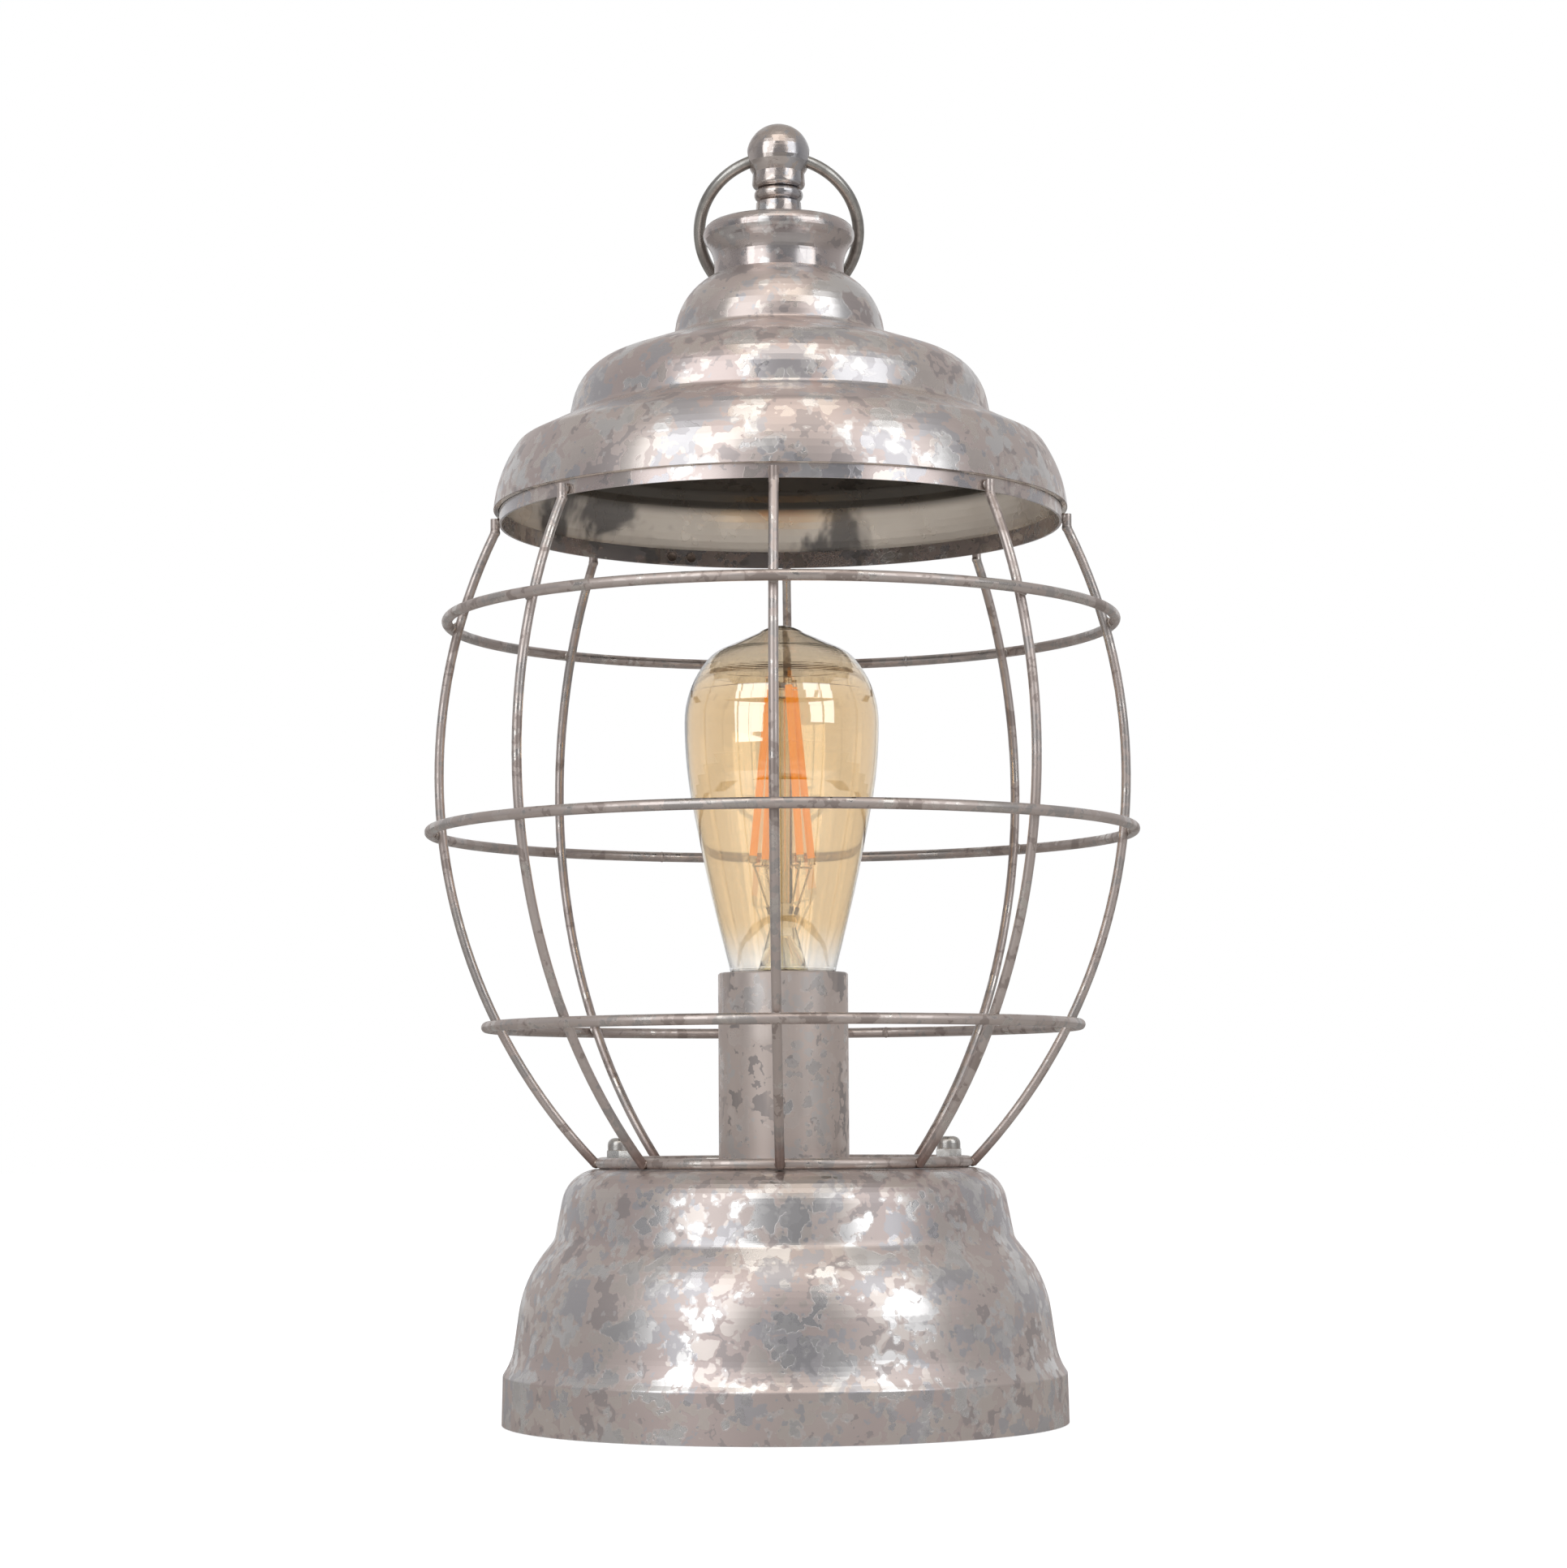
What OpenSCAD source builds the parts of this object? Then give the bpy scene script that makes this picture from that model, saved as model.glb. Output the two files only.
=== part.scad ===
// Caged lantern table lamp with a spun base, a welded wire cage and a stepped lid
// Lengths in millimetres. The origin is under the middle of the base, Z points up
// and the front of the lamp faces -Y.

/* [Base] */
// Outer diameter of the base skirt
base_d = 184.6; // [176:0.2:196]
// Height of the flat top of the base
base_h = 82.3; // [80:0.1:92]
// Height of the upright skirt
skirt_h = 15.6; // [15:0.1:18]
// Sheet thickness of the base
base_wall = 1.0; // [0.8:0.1:1.4]
// Radius of the cove above the skirt
cove_r = 20; // [17:0.5:23]
// Radius of the belly of the base
belly_r = 40; // [37:0.5:42]
// Radius of the rounded top shoulder
shoulder_r = 12.5; // [11:0.1:14]
// Width of the rolled foot
foot_w = 4.4; // [4.4:0.1:6]
// Height of the rolled foot
foot_h = 2.0; // [2:0.1:2.4]
// Thickness of the floor plate
plate_t = 1.2; // [0.8:0.1:1.6]
// Diameter of the ballast disc
weight_d = 110; // [90:1:120]
// Thickness of the ballast disc
weight_t = 9; // [6:0.5:12]
// Number of screws that hold the ballast
weight_screw_n = 3; // [3:1:5]
// Radius of the circle of ballast screws
weight_screw_pcr = 38; // [30:1:42]

/* [Cord inlet] */
// Bore of the grommet
grommet_bore = 6.6; // [6:0.1:7]
// Outer diameter of the grommet flange
grommet_flange = 11.4; // [11:0.1:12]
// Diameter of the hole for the grommet
grommet_hole = 9.0; // [8.6:0.1:9.4]
// Height of the grommet above the table
grommet_z = 9.5; // [9.5:0.1:10]

/* [Socket] */
// Outer diameter of the socket tube
tube_d = 42.8; // [42:0.1:46]
// Height of the socket tube above the base
tube_h = 63.8; // [61:0.1:64.4]
// Wall of the socket tube
tube_wall = 1.0; // [0.8:0.1:1.2]
// Outer diameter of the threaded nipple
nipple_d = 10; // [9:0.1:11]
// Bore of the threaded nipple
nipple_bore = 7.6; // [6:0.1:8]
// Diameter of the lampholder body
holder_d = 38; // [36:0.1:38.6]
// Height of the lampholder body
holder_h = 37.4; // [36.8:0.1:40]
// Height of the lampholder above its lock nut
holder_stand = 15.8; // [12:0.1:17]

/* [Bulb] */
// Largest diameter of the bulb
bulb_d = 64.4; // [60:0.1:66]
// Overall length of the bulb
bulb_l = 145; // [143:0.5:150]
// Diameter of the screw cap
cap_d = 26.1; // [25.9:0.1:26.3]
// Height of the screw cap with its insulator
cap_h = 25.5; // [25:0.1:26]
// Diameter of the glass neck above the socket
neck_d = 35.2; // [33.6:0.1:36]
// Thickness of the glass
glass_t = 0.8; // [0.7:0.1:1]
// Number of filaments
filament_n = 4; // [3:1:6]
// Length of one filament
filament_l = 61; // [52:1:62]
// Diameter of one filament
filament_d = 1.8; // [1.4:0.1:2.2]
// Distance of the filament heads from the bulb's axis
filament_in = 4.4; // [4:0.1:6]
// Distance of the filament feet from the bulb's axis
filament_out = 11.4; // [8:0.1:12]
// Bearing of the first filament
filament_turn = 31; // [0:1:89]

/* [Cage] */
// Number of ribs
rib_n = 8; // [8:1:8]
// Wire diameter of the ribs
rib_d = 3.1; // [2.8:0.1:3.4]
// Radius of the widest part of the rib line
rib_r = 113.8; // [108:0.1:120]
// Turn of the whole cage about the lamp axis
cage_turn = -1.2; // [-3:0.1:3]
// Wire diameter of the hoops
hoop_d = 3.5; // [3.2:0.1:3.8]
// Height of the lower hoop
hoop_low_z = 128.5; // [120:0.5:140]
// Height of the middle hoop
hoop_mid_z = 192.4; // [182:0.5:202]
// Height of the upper hoop
hoop_up_z = 262; // [252:0.5:270]
// Wire diameter of the foot ring
foot_ring_d = 3.6; // [3.2:0.1:4]
// Distance of the foot ring inside the edge of the flat top
foot_ring_inset = 0.4; // [0.2:0.1:1]
// Outer diameter of the strap under the lid
strap_d = 187; // [185:0.2:188]
// Height of the strap
strap_h = 5.7; // [5.2:0.1:6]
// Height by which a rib laps the strap
rib_lap = 3.2; // [2:0.1:4.4]
// Thickness of the strap
strap_t = 0.8; // [0.6:0.1:1.2]
// Size of the cap nuts across flats
cap_nut_af = 8; // [7.8:0.1:8.4]
// Height of the cap nuts
cap_nut_h = 7.5; // [7:0.1:9]
// Thread diameter of the cage bolts
bolt_d = 5; // [4.6:0.1:5.2]

/* [Lid] */
// Outer diameter of the lid at its rim
lid_d = 190.8; // [190.4:0.2:194]
// Height of the rim above the table
rim_z = 299.6; // [299:0.1:300.2]
// Sheet thickness of the lid
lid_wall = 0.8; // [0.6:0.1:1]
// Radius of the rounded side of the brim
brim_r = 44; // [42:0.5:48]
// Radius of the middle dome at its foot
mid_dome_r = 71.6; // [69:0.1:74]
// Edge radius of the middle dome
mid_edge_r = 19; // [17:0.5:21]
// Radius of the small dome at its foot
top_dome_r = 36.4; // [35.8:0.1:38]
// Edge radius of the small dome
top_edge_r = 23; // [22:0.5:24]
// Height of the inner hem above the rim
hem_h = 16; // [12:0.5:18]

/* [Chimney and finial] */
// Outer radius of the chimney neck
chimney_r = 21.7; // [21:0.1:22]
// Outer radius of the chimney crown
crown_r = 25.4; // [24.6:0.1:26]
// Radius of the rounded edge of the crown
crown_edge_r = 4; // [3:0.1:5]
// Height of the chimney up to the edge of its crown
chimney_h = 18; // [17:0.1:20]
// Radius of the finial collar
collar_r = 7.8; // [7:0.1:8.6]
// Radius of the lower bead
bead_low_r = 8.2; // [7.6:0.1:8.8]
// Radius of the upper bead
bead_up_r = 8.9; // [8.2:0.1:9.4]
// Diameter of the ball
ball_d = 21.3; // [20:0.1:22]
// Thread diameter of the finial stud
stud_d = 6; // [5:0.1:6.2]

/* [Carry ring] */
// Radius of the ring to the middle of its wire
ring_r = 27; // [26.6:0.1:28]
// Wire diameter of the ring
ring_d = 4; // [3.6:0.1:4.2]
// Angle at which the ring rests against the back of the lid
ring_lean = 35; // [34.8:0.1:38]
// Running gap between the ring and its hole
ring_gap = 0.35; // [0.2:0.05:0.6]

/* [Hidden] */
$fn = 96;
// General clearances
touch_gap = 0.08;
slip_gap = 0.3;
thread_gap = 0.05;
nut_gap = 0.2;

// Sheet metal levels
plate_z = foot_h;
weight_z = plate_z + plate_t;
plate_r = base_d / 2 - base_wall - slip_gap;
skirt_draft = 0.35;
skirt_slope = 35;
flank_slope = 8;
belly_slope = 38;
collar_slope = 11;
corner_r = 1.2;
crease_r = 5.5;
flank_z = 36;
belly_end = 4.4;

// Fasteners
washer_t = 1.0;
nut_af = 14;
nut_h = 3;
screw_head_r = 3.4;
screw_head_h = 1.3;
tab_t = 1.5;
tab_w = 11;
bolt_head_r = 4.4;
bolt_head_h = 3;
bolt_end = 4.4;
cap_hex_h = 3.6;
screw_d = 4;
screw_end = 5.5;
weight_bore_r = 12;
weight_edge = 1.2;

// Socket and lampholder levels
tube_floor_z = base_h + tube_wall;
holder_z = tube_floor_z + washer_t + nut_h + holder_stand;
holder_top = holder_z + holder_h;
holder_floor = 10;
nipple_top = holder_z + 8;
nipple_low = base_h - base_wall - washer_t - nut_h - 8;
shell_r = cap_d / 2 + slip_gap + 0.85;
shell_t = 0.8;
shell_z = holder_z + holder_floor + 2;
contact_h = 3.2;

// Bulb levels
eyelet_h = 1.6;
bulb_z = holder_z + holder_floor + contact_h + touch_gap;
insulator_h = 5;
glass_z = bulb_z + cap_h;
bulb_top = bulb_z + bulb_l;
bulb_seat = 4.6;
dome_turn = 40;
dome_in_r = 14;
cone_slope = 66;
pip_r = 8.2;
pip_foot_r = 3;
pip_slope = 54;
pear_r = 150;
pear_slope = 9.5;
stem_h = 26;
stem_r = 4.4;
stem_flare_r = 11.2;
stem_lip = 1;
stem_cove_r = 9;
stem_mouth_r = 9.2;
stem_bore_r = 1.6;
stem_solid = 10;
rod_r = 1.3;
rod_tip_r = 1.9;
wire_r = 0.35;
filament_z = bulb_top - filament_l - 18;

// Cage levels
strap_drop = 4.7;
knee_drop = 1.4;
foot_out = 1.6;
foot_drop = 0.5;
strap_z = rim_z - strap_drop;
foot_ring_z = base_h + foot_ring_d / 2 + touch_gap;
rib_end_z = foot_ring_z - foot_drop;
knee_r = rib_d / 2 + 0.15;
knee_z = strap_z - knee_drop;
rib_top_x = strap_d / 2 + touch_gap + knee_r;
hem_t = 2 * lid_wall + 0.1;
brim_a0 = 5;
rib_top_z = strap_z + rib_lap;
lap_a = 10;
lap_turn = 109;

// Lid outline
brim_a1 = 34;
brim_a2 = 64;
brim_edge_r = 5;
mid_foot_r = 2.5;
mid_a0 = 12;
mid_a1 = 14;
mid_a2 = 70;
mid_wall_h = 6.2;
top_foot_r = 2;
top_a0 = 5;
top_a1 = 7;
top_a2 = 58;
top_wall_h = 1.8;

// Finial heights above the chimney
collar_h = 4.9;
bead_low_h = 4.4;
bead_up_h = 5.2;
crown_slope = 11.5;
crown_flare = 40;
ball_seat = 0.26;
ball_sink = 1.4;

// Points along an arc about a centre, from one angle to another
function arc(c, r, a0, a1, n) =
    [for (i = [0:n]) c + r * [cos(a0 + (a1 - a0) * i / n), sin(a0 + (a1 - a0) * i / n)]];

// A convex bend that starts at p and turns the outward normal from a0 to a1
function bulge(p, r, a0, a1, n) = arc(p - r * [cos(a0), sin(a0)], r, a0, a1, n);

// A hollow bend that starts at p and turns the outward normal from a0 to a1
function cove(p, r, a0, a1, n) = arc(p + r * [cos(a0), sin(a0)], r, a0 + 180, a1 + 180, n);

// The point reached from p along the surface whose outward normal leans by a
function run(p, a, l) = p + l * [-sin(a), cos(a)];

// The last point of a list, the list backwards, and the list moved inwards by t
function tail(p) = p[len(p) - 1];
function flip(p) = [for (i = [len(p) - 1:-1:0]) p[i]];
function sink(p, t) =
    [for (i = [0:len(p) - 1])
        let (d = p[min(i + 1, len(p) - 1)] - p[max(i - 1, 0)])
        p[i] + t * [-d[1], d[0]] / norm(d)];

// Radius of a bow whose ends lie h apart, one a and the other b short of its widest line
function bow(a, b, h) =
    let (p = h * h - a * a + b * b, q = 2 * h * h * a - (a - b) * p)
    let (s = p * p + 4 * h * h * a * a)
    s / (2 * q + 2 * sqrt(q * q - pow(a - b, 2) * s));

// Outer line of the base from the table up to the flat top
skirt_top = [base_d / 2 - skirt_draft, skirt_h];
base_corner = bulge(skirt_top, corner_r, 1, skirt_slope, 3);
base_cove = cove(tail(base_corner), cove_r, skirt_slope, flank_slope, 6);
flank_top = run(tail(base_cove), flank_slope,
    (flank_z - tail(base_cove)[1]) / cos(flank_slope));
base_belly = bulge(flank_top, belly_r, flank_slope, belly_slope, 10);
base_crease = cove(run(tail(base_belly), belly_slope, belly_end), crease_r,
    belly_slope, collar_slope, 4);
shoulder_z = base_h - shoulder_r * (1 - sin(collar_slope));
shoulder_start = run(tail(base_crease), collar_slope,
    (shoulder_z - tail(base_crease)[1]) / cos(collar_slope));
base_shoulder = bulge(shoulder_start, shoulder_r, collar_slope, 90, 10);
base_line = concat([[base_d / 2, 0]], base_corner, base_cove, base_belly, base_crease,
    base_shoulder);

// The foot ring lies at the edge of the flat top, with the cap nuts just inside it
foot_ring_r = tail(base_shoulder)[0] - foot_ring_inset;
nut_x = foot_ring_r - foot_ring_d / 2 - nut_gap - cap_nut_af / 2;

// A rib is one circle that touches its widest radius and passes through its two ends
rib_rise = knee_z - rib_end_z;
rib_low_in = rib_r - foot_ring_r - foot_out;
rib_high_in = rib_r - rib_top_x;
rib_bend = bow(rib_low_in, rib_high_in, rib_rise);
rib_c = rib_r - rib_bend;
rib_mid_z = rib_end_z + sqrt(rib_low_in * (2 * rib_bend - rib_low_in));
rib_low_a = asin((rib_mid_z - rib_end_z) / rib_bend);
rib_high_a = asin((knee_z - rib_mid_z) / rib_bend);

// Outer line of the lid from the rim up to the flat under the chimney
brim_side = bulge([lid_d / 2, rim_z], brim_r, brim_a0, brim_a1, 9);
brim_edge = bulge(tail(brim_side), brim_edge_r, brim_a1, brim_a2, 4);
brim_in = run(tail(brim_edge), brim_a2, (tail(brim_edge)[0] - mid_dome_r) / sin(brim_a2));
mid_foot = cove(brim_in, mid_foot_r, brim_a2, mid_a0, 5);
mid_edge = bulge(run(tail(mid_foot), mid_a0, mid_wall_h), mid_edge_r, mid_a1, mid_a2, 9);
mid_in = run(tail(mid_edge), mid_a2, (tail(mid_edge)[0] - top_dome_r) / sin(mid_a2));
top_foot = cove(mid_in, top_foot_r, mid_a2, top_a0, 5);
top_edge = bulge(run(tail(top_foot), top_a0, top_wall_h), top_edge_r, top_a1, top_a2, 9);
top_flat = run(tail(top_edge), top_a2, (tail(top_edge)[0] - chimney_r - 0.6) / sin(top_a2));
lid_line = concat(brim_edge, mid_foot, mid_edge, top_foot, top_edge, [top_flat]);
lid_top = top_flat[1];

// Outer line of the chimney from the lid up to the finial
crown_z = lid_top + chimney_h;
waist_r = (crown_r - chimney_r) / (1 - cos(crown_flare)) - crown_edge_r;
crown_wide_z = crown_z - crown_edge_r * cos(crown_slope);
neck_z = crown_wide_z - (waist_r + crown_edge_r) * sin(crown_flare);
crown_line = concat([[chimney_r, lid_top]],
    cove([chimney_r, neck_z], waist_r, 0, -crown_flare, 8),
    arc([crown_r - crown_edge_r, crown_wide_z], crown_edge_r, -crown_flare,
        90 - crown_slope, 9));
crown_in = run(tail(crown_line), 90 - crown_slope,
    (tail(crown_line)[0] - collar_r) / sin(90 - crown_slope));
finial_z = crown_in[1];
ball_z = finial_z + collar_h + bead_low_h + bead_up_h
    + sqrt(pow(ball_d / 2, 2) - pow(bead_up_r - ball_seat, 2));
pivot_z = ball_z - ball_sink;

// The ring stands off its axis by half the rise of its arc inside the ball
ring_rise = ring_r - sqrt(pow(ring_r, 2) - pow(ball_d / 2, 2));
ring_hole_r = ring_rise / 2 + ring_d / 2 + ring_gap;
ring_drop = ring_r - ring_rise / 2;

// Colours by material
module galvanised() {
    color([0.66, 0.65, 0.63])
        children();
}
module zinc() {
    color([0.72, 0.71, 0.70])
        children();
}
module brass() {
    color([0.78, 0.64, 0.36])
        children();
}

module tube(outer, inner, h) {
    difference() {
        cylinder(r = outer, h = h);
        translate([0, 0, -1])
            cylinder(r = inner, h = h + 2);
    }
}

module wire_ring(radius, d) {
    rotate_extrude($fn = 180)
        translate([radius, 0])
            circle(d = d, $fn = 32);
}

module hex(af, h) {
    linear_extrude(h)
        circle(d = af / cos(30), $fn = 6);
}

module hex_nut(af, h, bore) {
    difference() {
        hex(af, h);
        translate([0, 0, -1])
            cylinder(d = bore, h = h + 2);
    }
}

module sides() {
    for (side = [-1, 1])
        translate([side * nut_x, 0, 0])
            children();
}

// Spun bell with a rolled foot, pierced for the nipple, the bolts and the grommet
module base_shell() {
    inner = sink(base_line, base_wall);
    foot_in = base_d / 2 - foot_w;
    galvanised()
        difference() {
            rotate_extrude($fn = 180)
                polygon(concat(base_line,
                    [[nipple_d / 2 + slip_gap, base_h],
                     [nipple_d / 2 + slip_gap, base_h - base_wall]],
                    flip([for (p = inner) if (p[1] > foot_h) p]),
                    [[base_d / 2 - base_wall, foot_h], [foot_in + 0.6, foot_h],
                     [foot_in, foot_h - 0.6], [foot_in, 0.6], [foot_in + 0.6, 0]]));
            sides()
                translate([0, 0, base_h - 4])
                    cylinder(d = bolt_d + slip_gap, h = 8);
            translate([0, base_d / 2 - 8, grommet_z])
                rotate([-90, 0, 0])
                    cylinder(d = grommet_hole, h = 16);
        }
}

// Floor plate caught above the rolled foot
module base_plate() {
    zinc()
        difference() {
            translate([0, 0, plate_z])
                cylinder(r = plate_r, h = plate_t, $fn = 180);
            weight_holes();
        }
}

module weight_holes() {
    for (i = [0:weight_screw_n - 1])
        rotate([0, 0, 90 + i * 360 / weight_screw_n])
            translate([weight_screw_pcr, 0, plate_z - 1])
                cylinder(d = screw_d + 2 * thread_gap, h = plate_t + screw_end + 1.5);
}

// Cast ballast disc on the floor plate
module base_weight() {
    top = weight_z + weight_t;
    color([0.30, 0.30, 0.31])
        difference() {
            rotate_extrude($fn = 180)
                polygon([[weight_bore_r, weight_z], [weight_d / 2, weight_z],
                    [weight_d / 2, top - weight_edge], [weight_d / 2 - weight_edge, top],
                    [weight_bore_r, top]]);
            weight_holes();
        }
}

module weight_screws() {
    zinc()
        for (i = [0:weight_screw_n - 1])
            rotate([0, 0, 90 + i * 360 / weight_screw_n])
                translate([weight_screw_pcr, 0, 0]) {
                    translate([0, 0, plate_z])
                        cylinder(d = screw_d, h = plate_t + screw_end);
                    translate([0, 0, plate_z - screw_head_h])
                        cylinder(r = screw_head_r, h = screw_head_h);
                }
}

// Grommet in the back of the skirt, turned about its own bore
module cord_grommet() {
    out_l = 2.2;
    in_l = 2.2;
    groove = base_wall + slip_gap + 0.2;
    wall_y = base_d / 2 - skirt_draft * grommet_z / skirt_h - base_wall - 0.2;
    r0 = grommet_bore / 2;
    r1 = grommet_flange / 2;
    r2 = grommet_hole / 2 - touch_gap;
    color([0.13, 0.13, 0.13])
        translate([0, wall_y, grommet_z])
            rotate([-90, 0, 0])
                rotate_extrude()
                    polygon([[r0, -in_l], [r1 - 0.8, -in_l], [r1, -in_l + 0.8], [r1, 0],
                        [r2, 0], [r2, groove], [r1, groove], [r1, groove + out_l - 1],
                        [r1 - 1, groove + out_l], [r0, groove + out_l]]);
}

module nipple() {
    brass()
        translate([0, 0, nipple_low])
            tube(nipple_d / 2, nipple_bore / 2, nipple_top - nipple_low);
}

// Lock nuts under the base top and on the floor of the socket tube
module nipple_nuts() {
    brass() {
        translate([0, 0, base_h - base_wall - washer_t - nut_h])
            hex_nut(nut_af, nut_h, nipple_d + 2 * thread_gap);
        translate([0, 0, tube_floor_z + washer_t])
            hex_nut(nut_af, nut_h, nipple_d + 2 * thread_gap);
    }
}

module nipple_washers() {
    zinc() {
        translate([0, 0, base_h - base_wall - washer_t])
            tube(10, nipple_d / 2 + slip_gap, washer_t);
        translate([0, 0, tube_floor_z])
            tube(10, nipple_d / 2 + slip_gap, washer_t);
    }
}

// Drawn socket tube with a closed floor and a rolled mouth
module socket_tube() {
    lip = 0.5;
    r = tube_d / 2;
    galvanised()
        translate([0, 0, base_h])
            rotate_extrude($fn = 120)
                polygon(concat([[nipple_d / 2 + slip_gap, 0], [r - 1.2, 0]],
                    arc([r - 1.2, 1.2], 1.2, -90, 0, 4),
                    [[r, tube_h - lip], [r - lip, tube_h], [r - tube_wall, tube_h],
                     [r - tube_wall, tube_wall], [nipple_d / 2 + slip_gap, tube_wall]]));
}

// Insulating body with a well for the screw shell
module lampholder_body() {
    r = holder_d / 2;
    well = shell_r + thread_gap;
    color([0.90, 0.88, 0.84])
        translate([0, 0, holder_z])
            rotate_extrude($fn = 120)
                polygon([[nipple_d / 2 + thread_gap, 0], [r - 4, 0], [r - 1, 6],
                    [r, 7], [r, holder_h - 1.5], [r - 1.5, holder_h],
                    [well, holder_h], [well, holder_floor], [4, holder_floor],
                    [4, 8 + thread_gap], [nipple_d / 2 + thread_gap, 8 + thread_gap]]);
}

// Screw shell that takes the bulb cap
module lampholder_shell() {
    brass()
        translate([0, 0, shell_z - 2])
            difference() {
                cylinder(r = shell_r, h = holder_h - holder_floor - 1);
                translate([0, 0, 1])
                    cylinder(r = shell_r - shell_t, h = holder_h);
                translate([0, 0, -1])
                    cylinder(r = 7, h = 4);
            }
}

module lampholder_contact() {
    z = holder_z + holder_floor;
    brass()
        translate([0, 0, z]) {
            cylinder(r = 5.2, h = 0.8);
            translate([0, 0, 0.7])
                cylinder(r1 = 3.4, r2 = 2.2, h = contact_h - 0.7);
        }
}

module bulb_cap() {
    r = cap_d / 2;
    t = 0.6;
    low = bulb_z + eyelet_h + insulator_h;
    turns = 5;
    pitch = (glass_z - low - 3) / turns;
    color([0.80, 0.78, 0.74])
        rotate_extrude($fn = 96)
            polygon(concat([[r - 2.2, low], [r - 0.9, low + 0.8]],
                [for (i = [0:turns * 4 - 1])
                    [r - 0.45 + 0.45 * sin(i * 90), low + 1.6 + pitch * i / 4]],
                [[r - 0.3, glass_z - 1.2], [r + 0.15, glass_z],
                 [r - t, glass_z], [r - t, glass_z - 1.6], [r - t - 0.9, glass_z - 1.8],
                 [r - t - 0.9, low + 1.6], [r - 2.2 - t, low + t]]));
}

// Black insulator between the cap and its centre contact
module bulb_insulator() {
    r = cap_d / 2;
    color([0.06, 0.06, 0.06])
        translate([0, 0, bulb_z + eyelet_h])
            rotate_extrude()
                polygon([[2.4, 0], [5.4, 0], [r - 2.4, insulator_h - 0.6],
                    [r - 3.0, insulator_h + 0.6], [2.4, insulator_h - 1]]);
}

module bulb_eyelet() {
    zinc()
        translate([0, 0, bulb_z])
            rotate_extrude()
                polygon([[0, 0], [3.2, 0], [4.8, 0.8], [4.8, eyelet_h - touch_gap],
                    [2.2, eyelet_h - touch_gap], [2.2, eyelet_h + 3], [0, eyelet_h + 3]]);
}

// Upper line of the bulb from its widest place to the sealed tip, then the whole line
dome_side = bulge([bulb_d / 2, 0], bulb_d / 2, 0, dome_turn, 9);
dome_in = bulge(tail(dome_side), dome_in_r, dome_turn, cone_slope, 6);
pip_start = run(tail(dome_in), cone_slope, (tail(dome_in)[0] - pip_r) / sin(cone_slope));
pip_foot = cove(pip_start, pip_foot_r, cone_slope, pip_slope, 3);
pip_top = bulge(tail(pip_foot), tail(pip_foot)[0] / cos(pip_slope), pip_slope, 86, 7);
bulb_eq = bulb_top - tail(pip_top)[1];
bulb_crown = [for (p = concat(dome_side, dome_in, pip_foot, pip_top)) p + [0, bulb_eq]];
bulb_pear = [for (i = [0:8])
    let (a = pear_slope * (1 - i / 8))
    [bulb_d / 2 - pear_r * (1 - cos(a)), bulb_eq - pear_r * sin(a)]];
neck_bend = 4;
bulb_neck = bulge([neck_d / 2 - neck_bend * (1 - cos(50)), glass_z + bulb_seat - 1.8],
    neck_bend, -50, 0, 5);
bulb_taper = [for (i = [1:6])
    let (a = i / 7, p = tail(bulb_neck), q = bulb_pear[0])
    p * (1 - a) + q * a + [0.6 * sin(a * 180), 0]];
bulb_line = concat(
    [[cap_d / 2 - 0.7, glass_z - 1.4], [cap_d / 2 - 0.7, glass_z + touch_gap]],
    bulb_neck, bulb_taper, bulb_pear, bulb_crown);

// Pear-shaped glass envelope
module bulb_glass() {
    inner = [for (p = sink(bulb_line, glass_t)) if (p[0] > 1) p];
    color([0.86, 0.56, 0.20, 0.45])
        rotate_extrude($fn = 120)
            polygon(concat(bulb_line, [[0, bulb_top], [0, bulb_top - glass_t]],
                flip(inner)));
}

// Flared glass stem, pinch and rod that carry the filaments
module bulb_stem() {
    z = glass_z + 1;
    rod_top = filament_z + filament_l - 4;
    color([0.92, 0.92, 0.90, 0.6]) {
        difference() {
            rotate_extrude($fn = 64)
                polygon(concat([[0, z], [stem_flare_r, z], [stem_flare_r, z + stem_lip]],
                    cove([stem_flare_r - 1.6 * stem_lip, z + 2.4 * stem_lip], stem_cove_r,
                        42, 8, 5),
                    [[stem_r, z + stem_h - 8], [stem_r - 1, z + stem_h], [0, z + stem_h]]));
            translate([0, 0, z - 1])
                cylinder(r1 = stem_mouth_r, r2 = stem_bore_r, h = stem_h - stem_solid);
        }
        translate([0, 0, z + stem_h - 0.2])
            cylinder(r = rod_r, h = rod_top - z - stem_h);
        translate([0, 0, rod_top - 0.6])
            sphere(r = rod_tip_r, $fn = 32);
    }
}

module filament_place() {
    lean = atan((filament_out - filament_in) / filament_l);
    for (i = [0:filament_n - 1])
        rotate([0, 0, filament_turn + i * 360 / filament_n])
            translate([filament_out, 0, filament_z])
                rotate([0, -lean, 0])
                    children();
}

module bulb_filaments() {
    color([1.0, 0.62, 0.20])
        filament_place()
            cylinder(d = filament_d, h = filament_l, $fn = 24);
}

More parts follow.
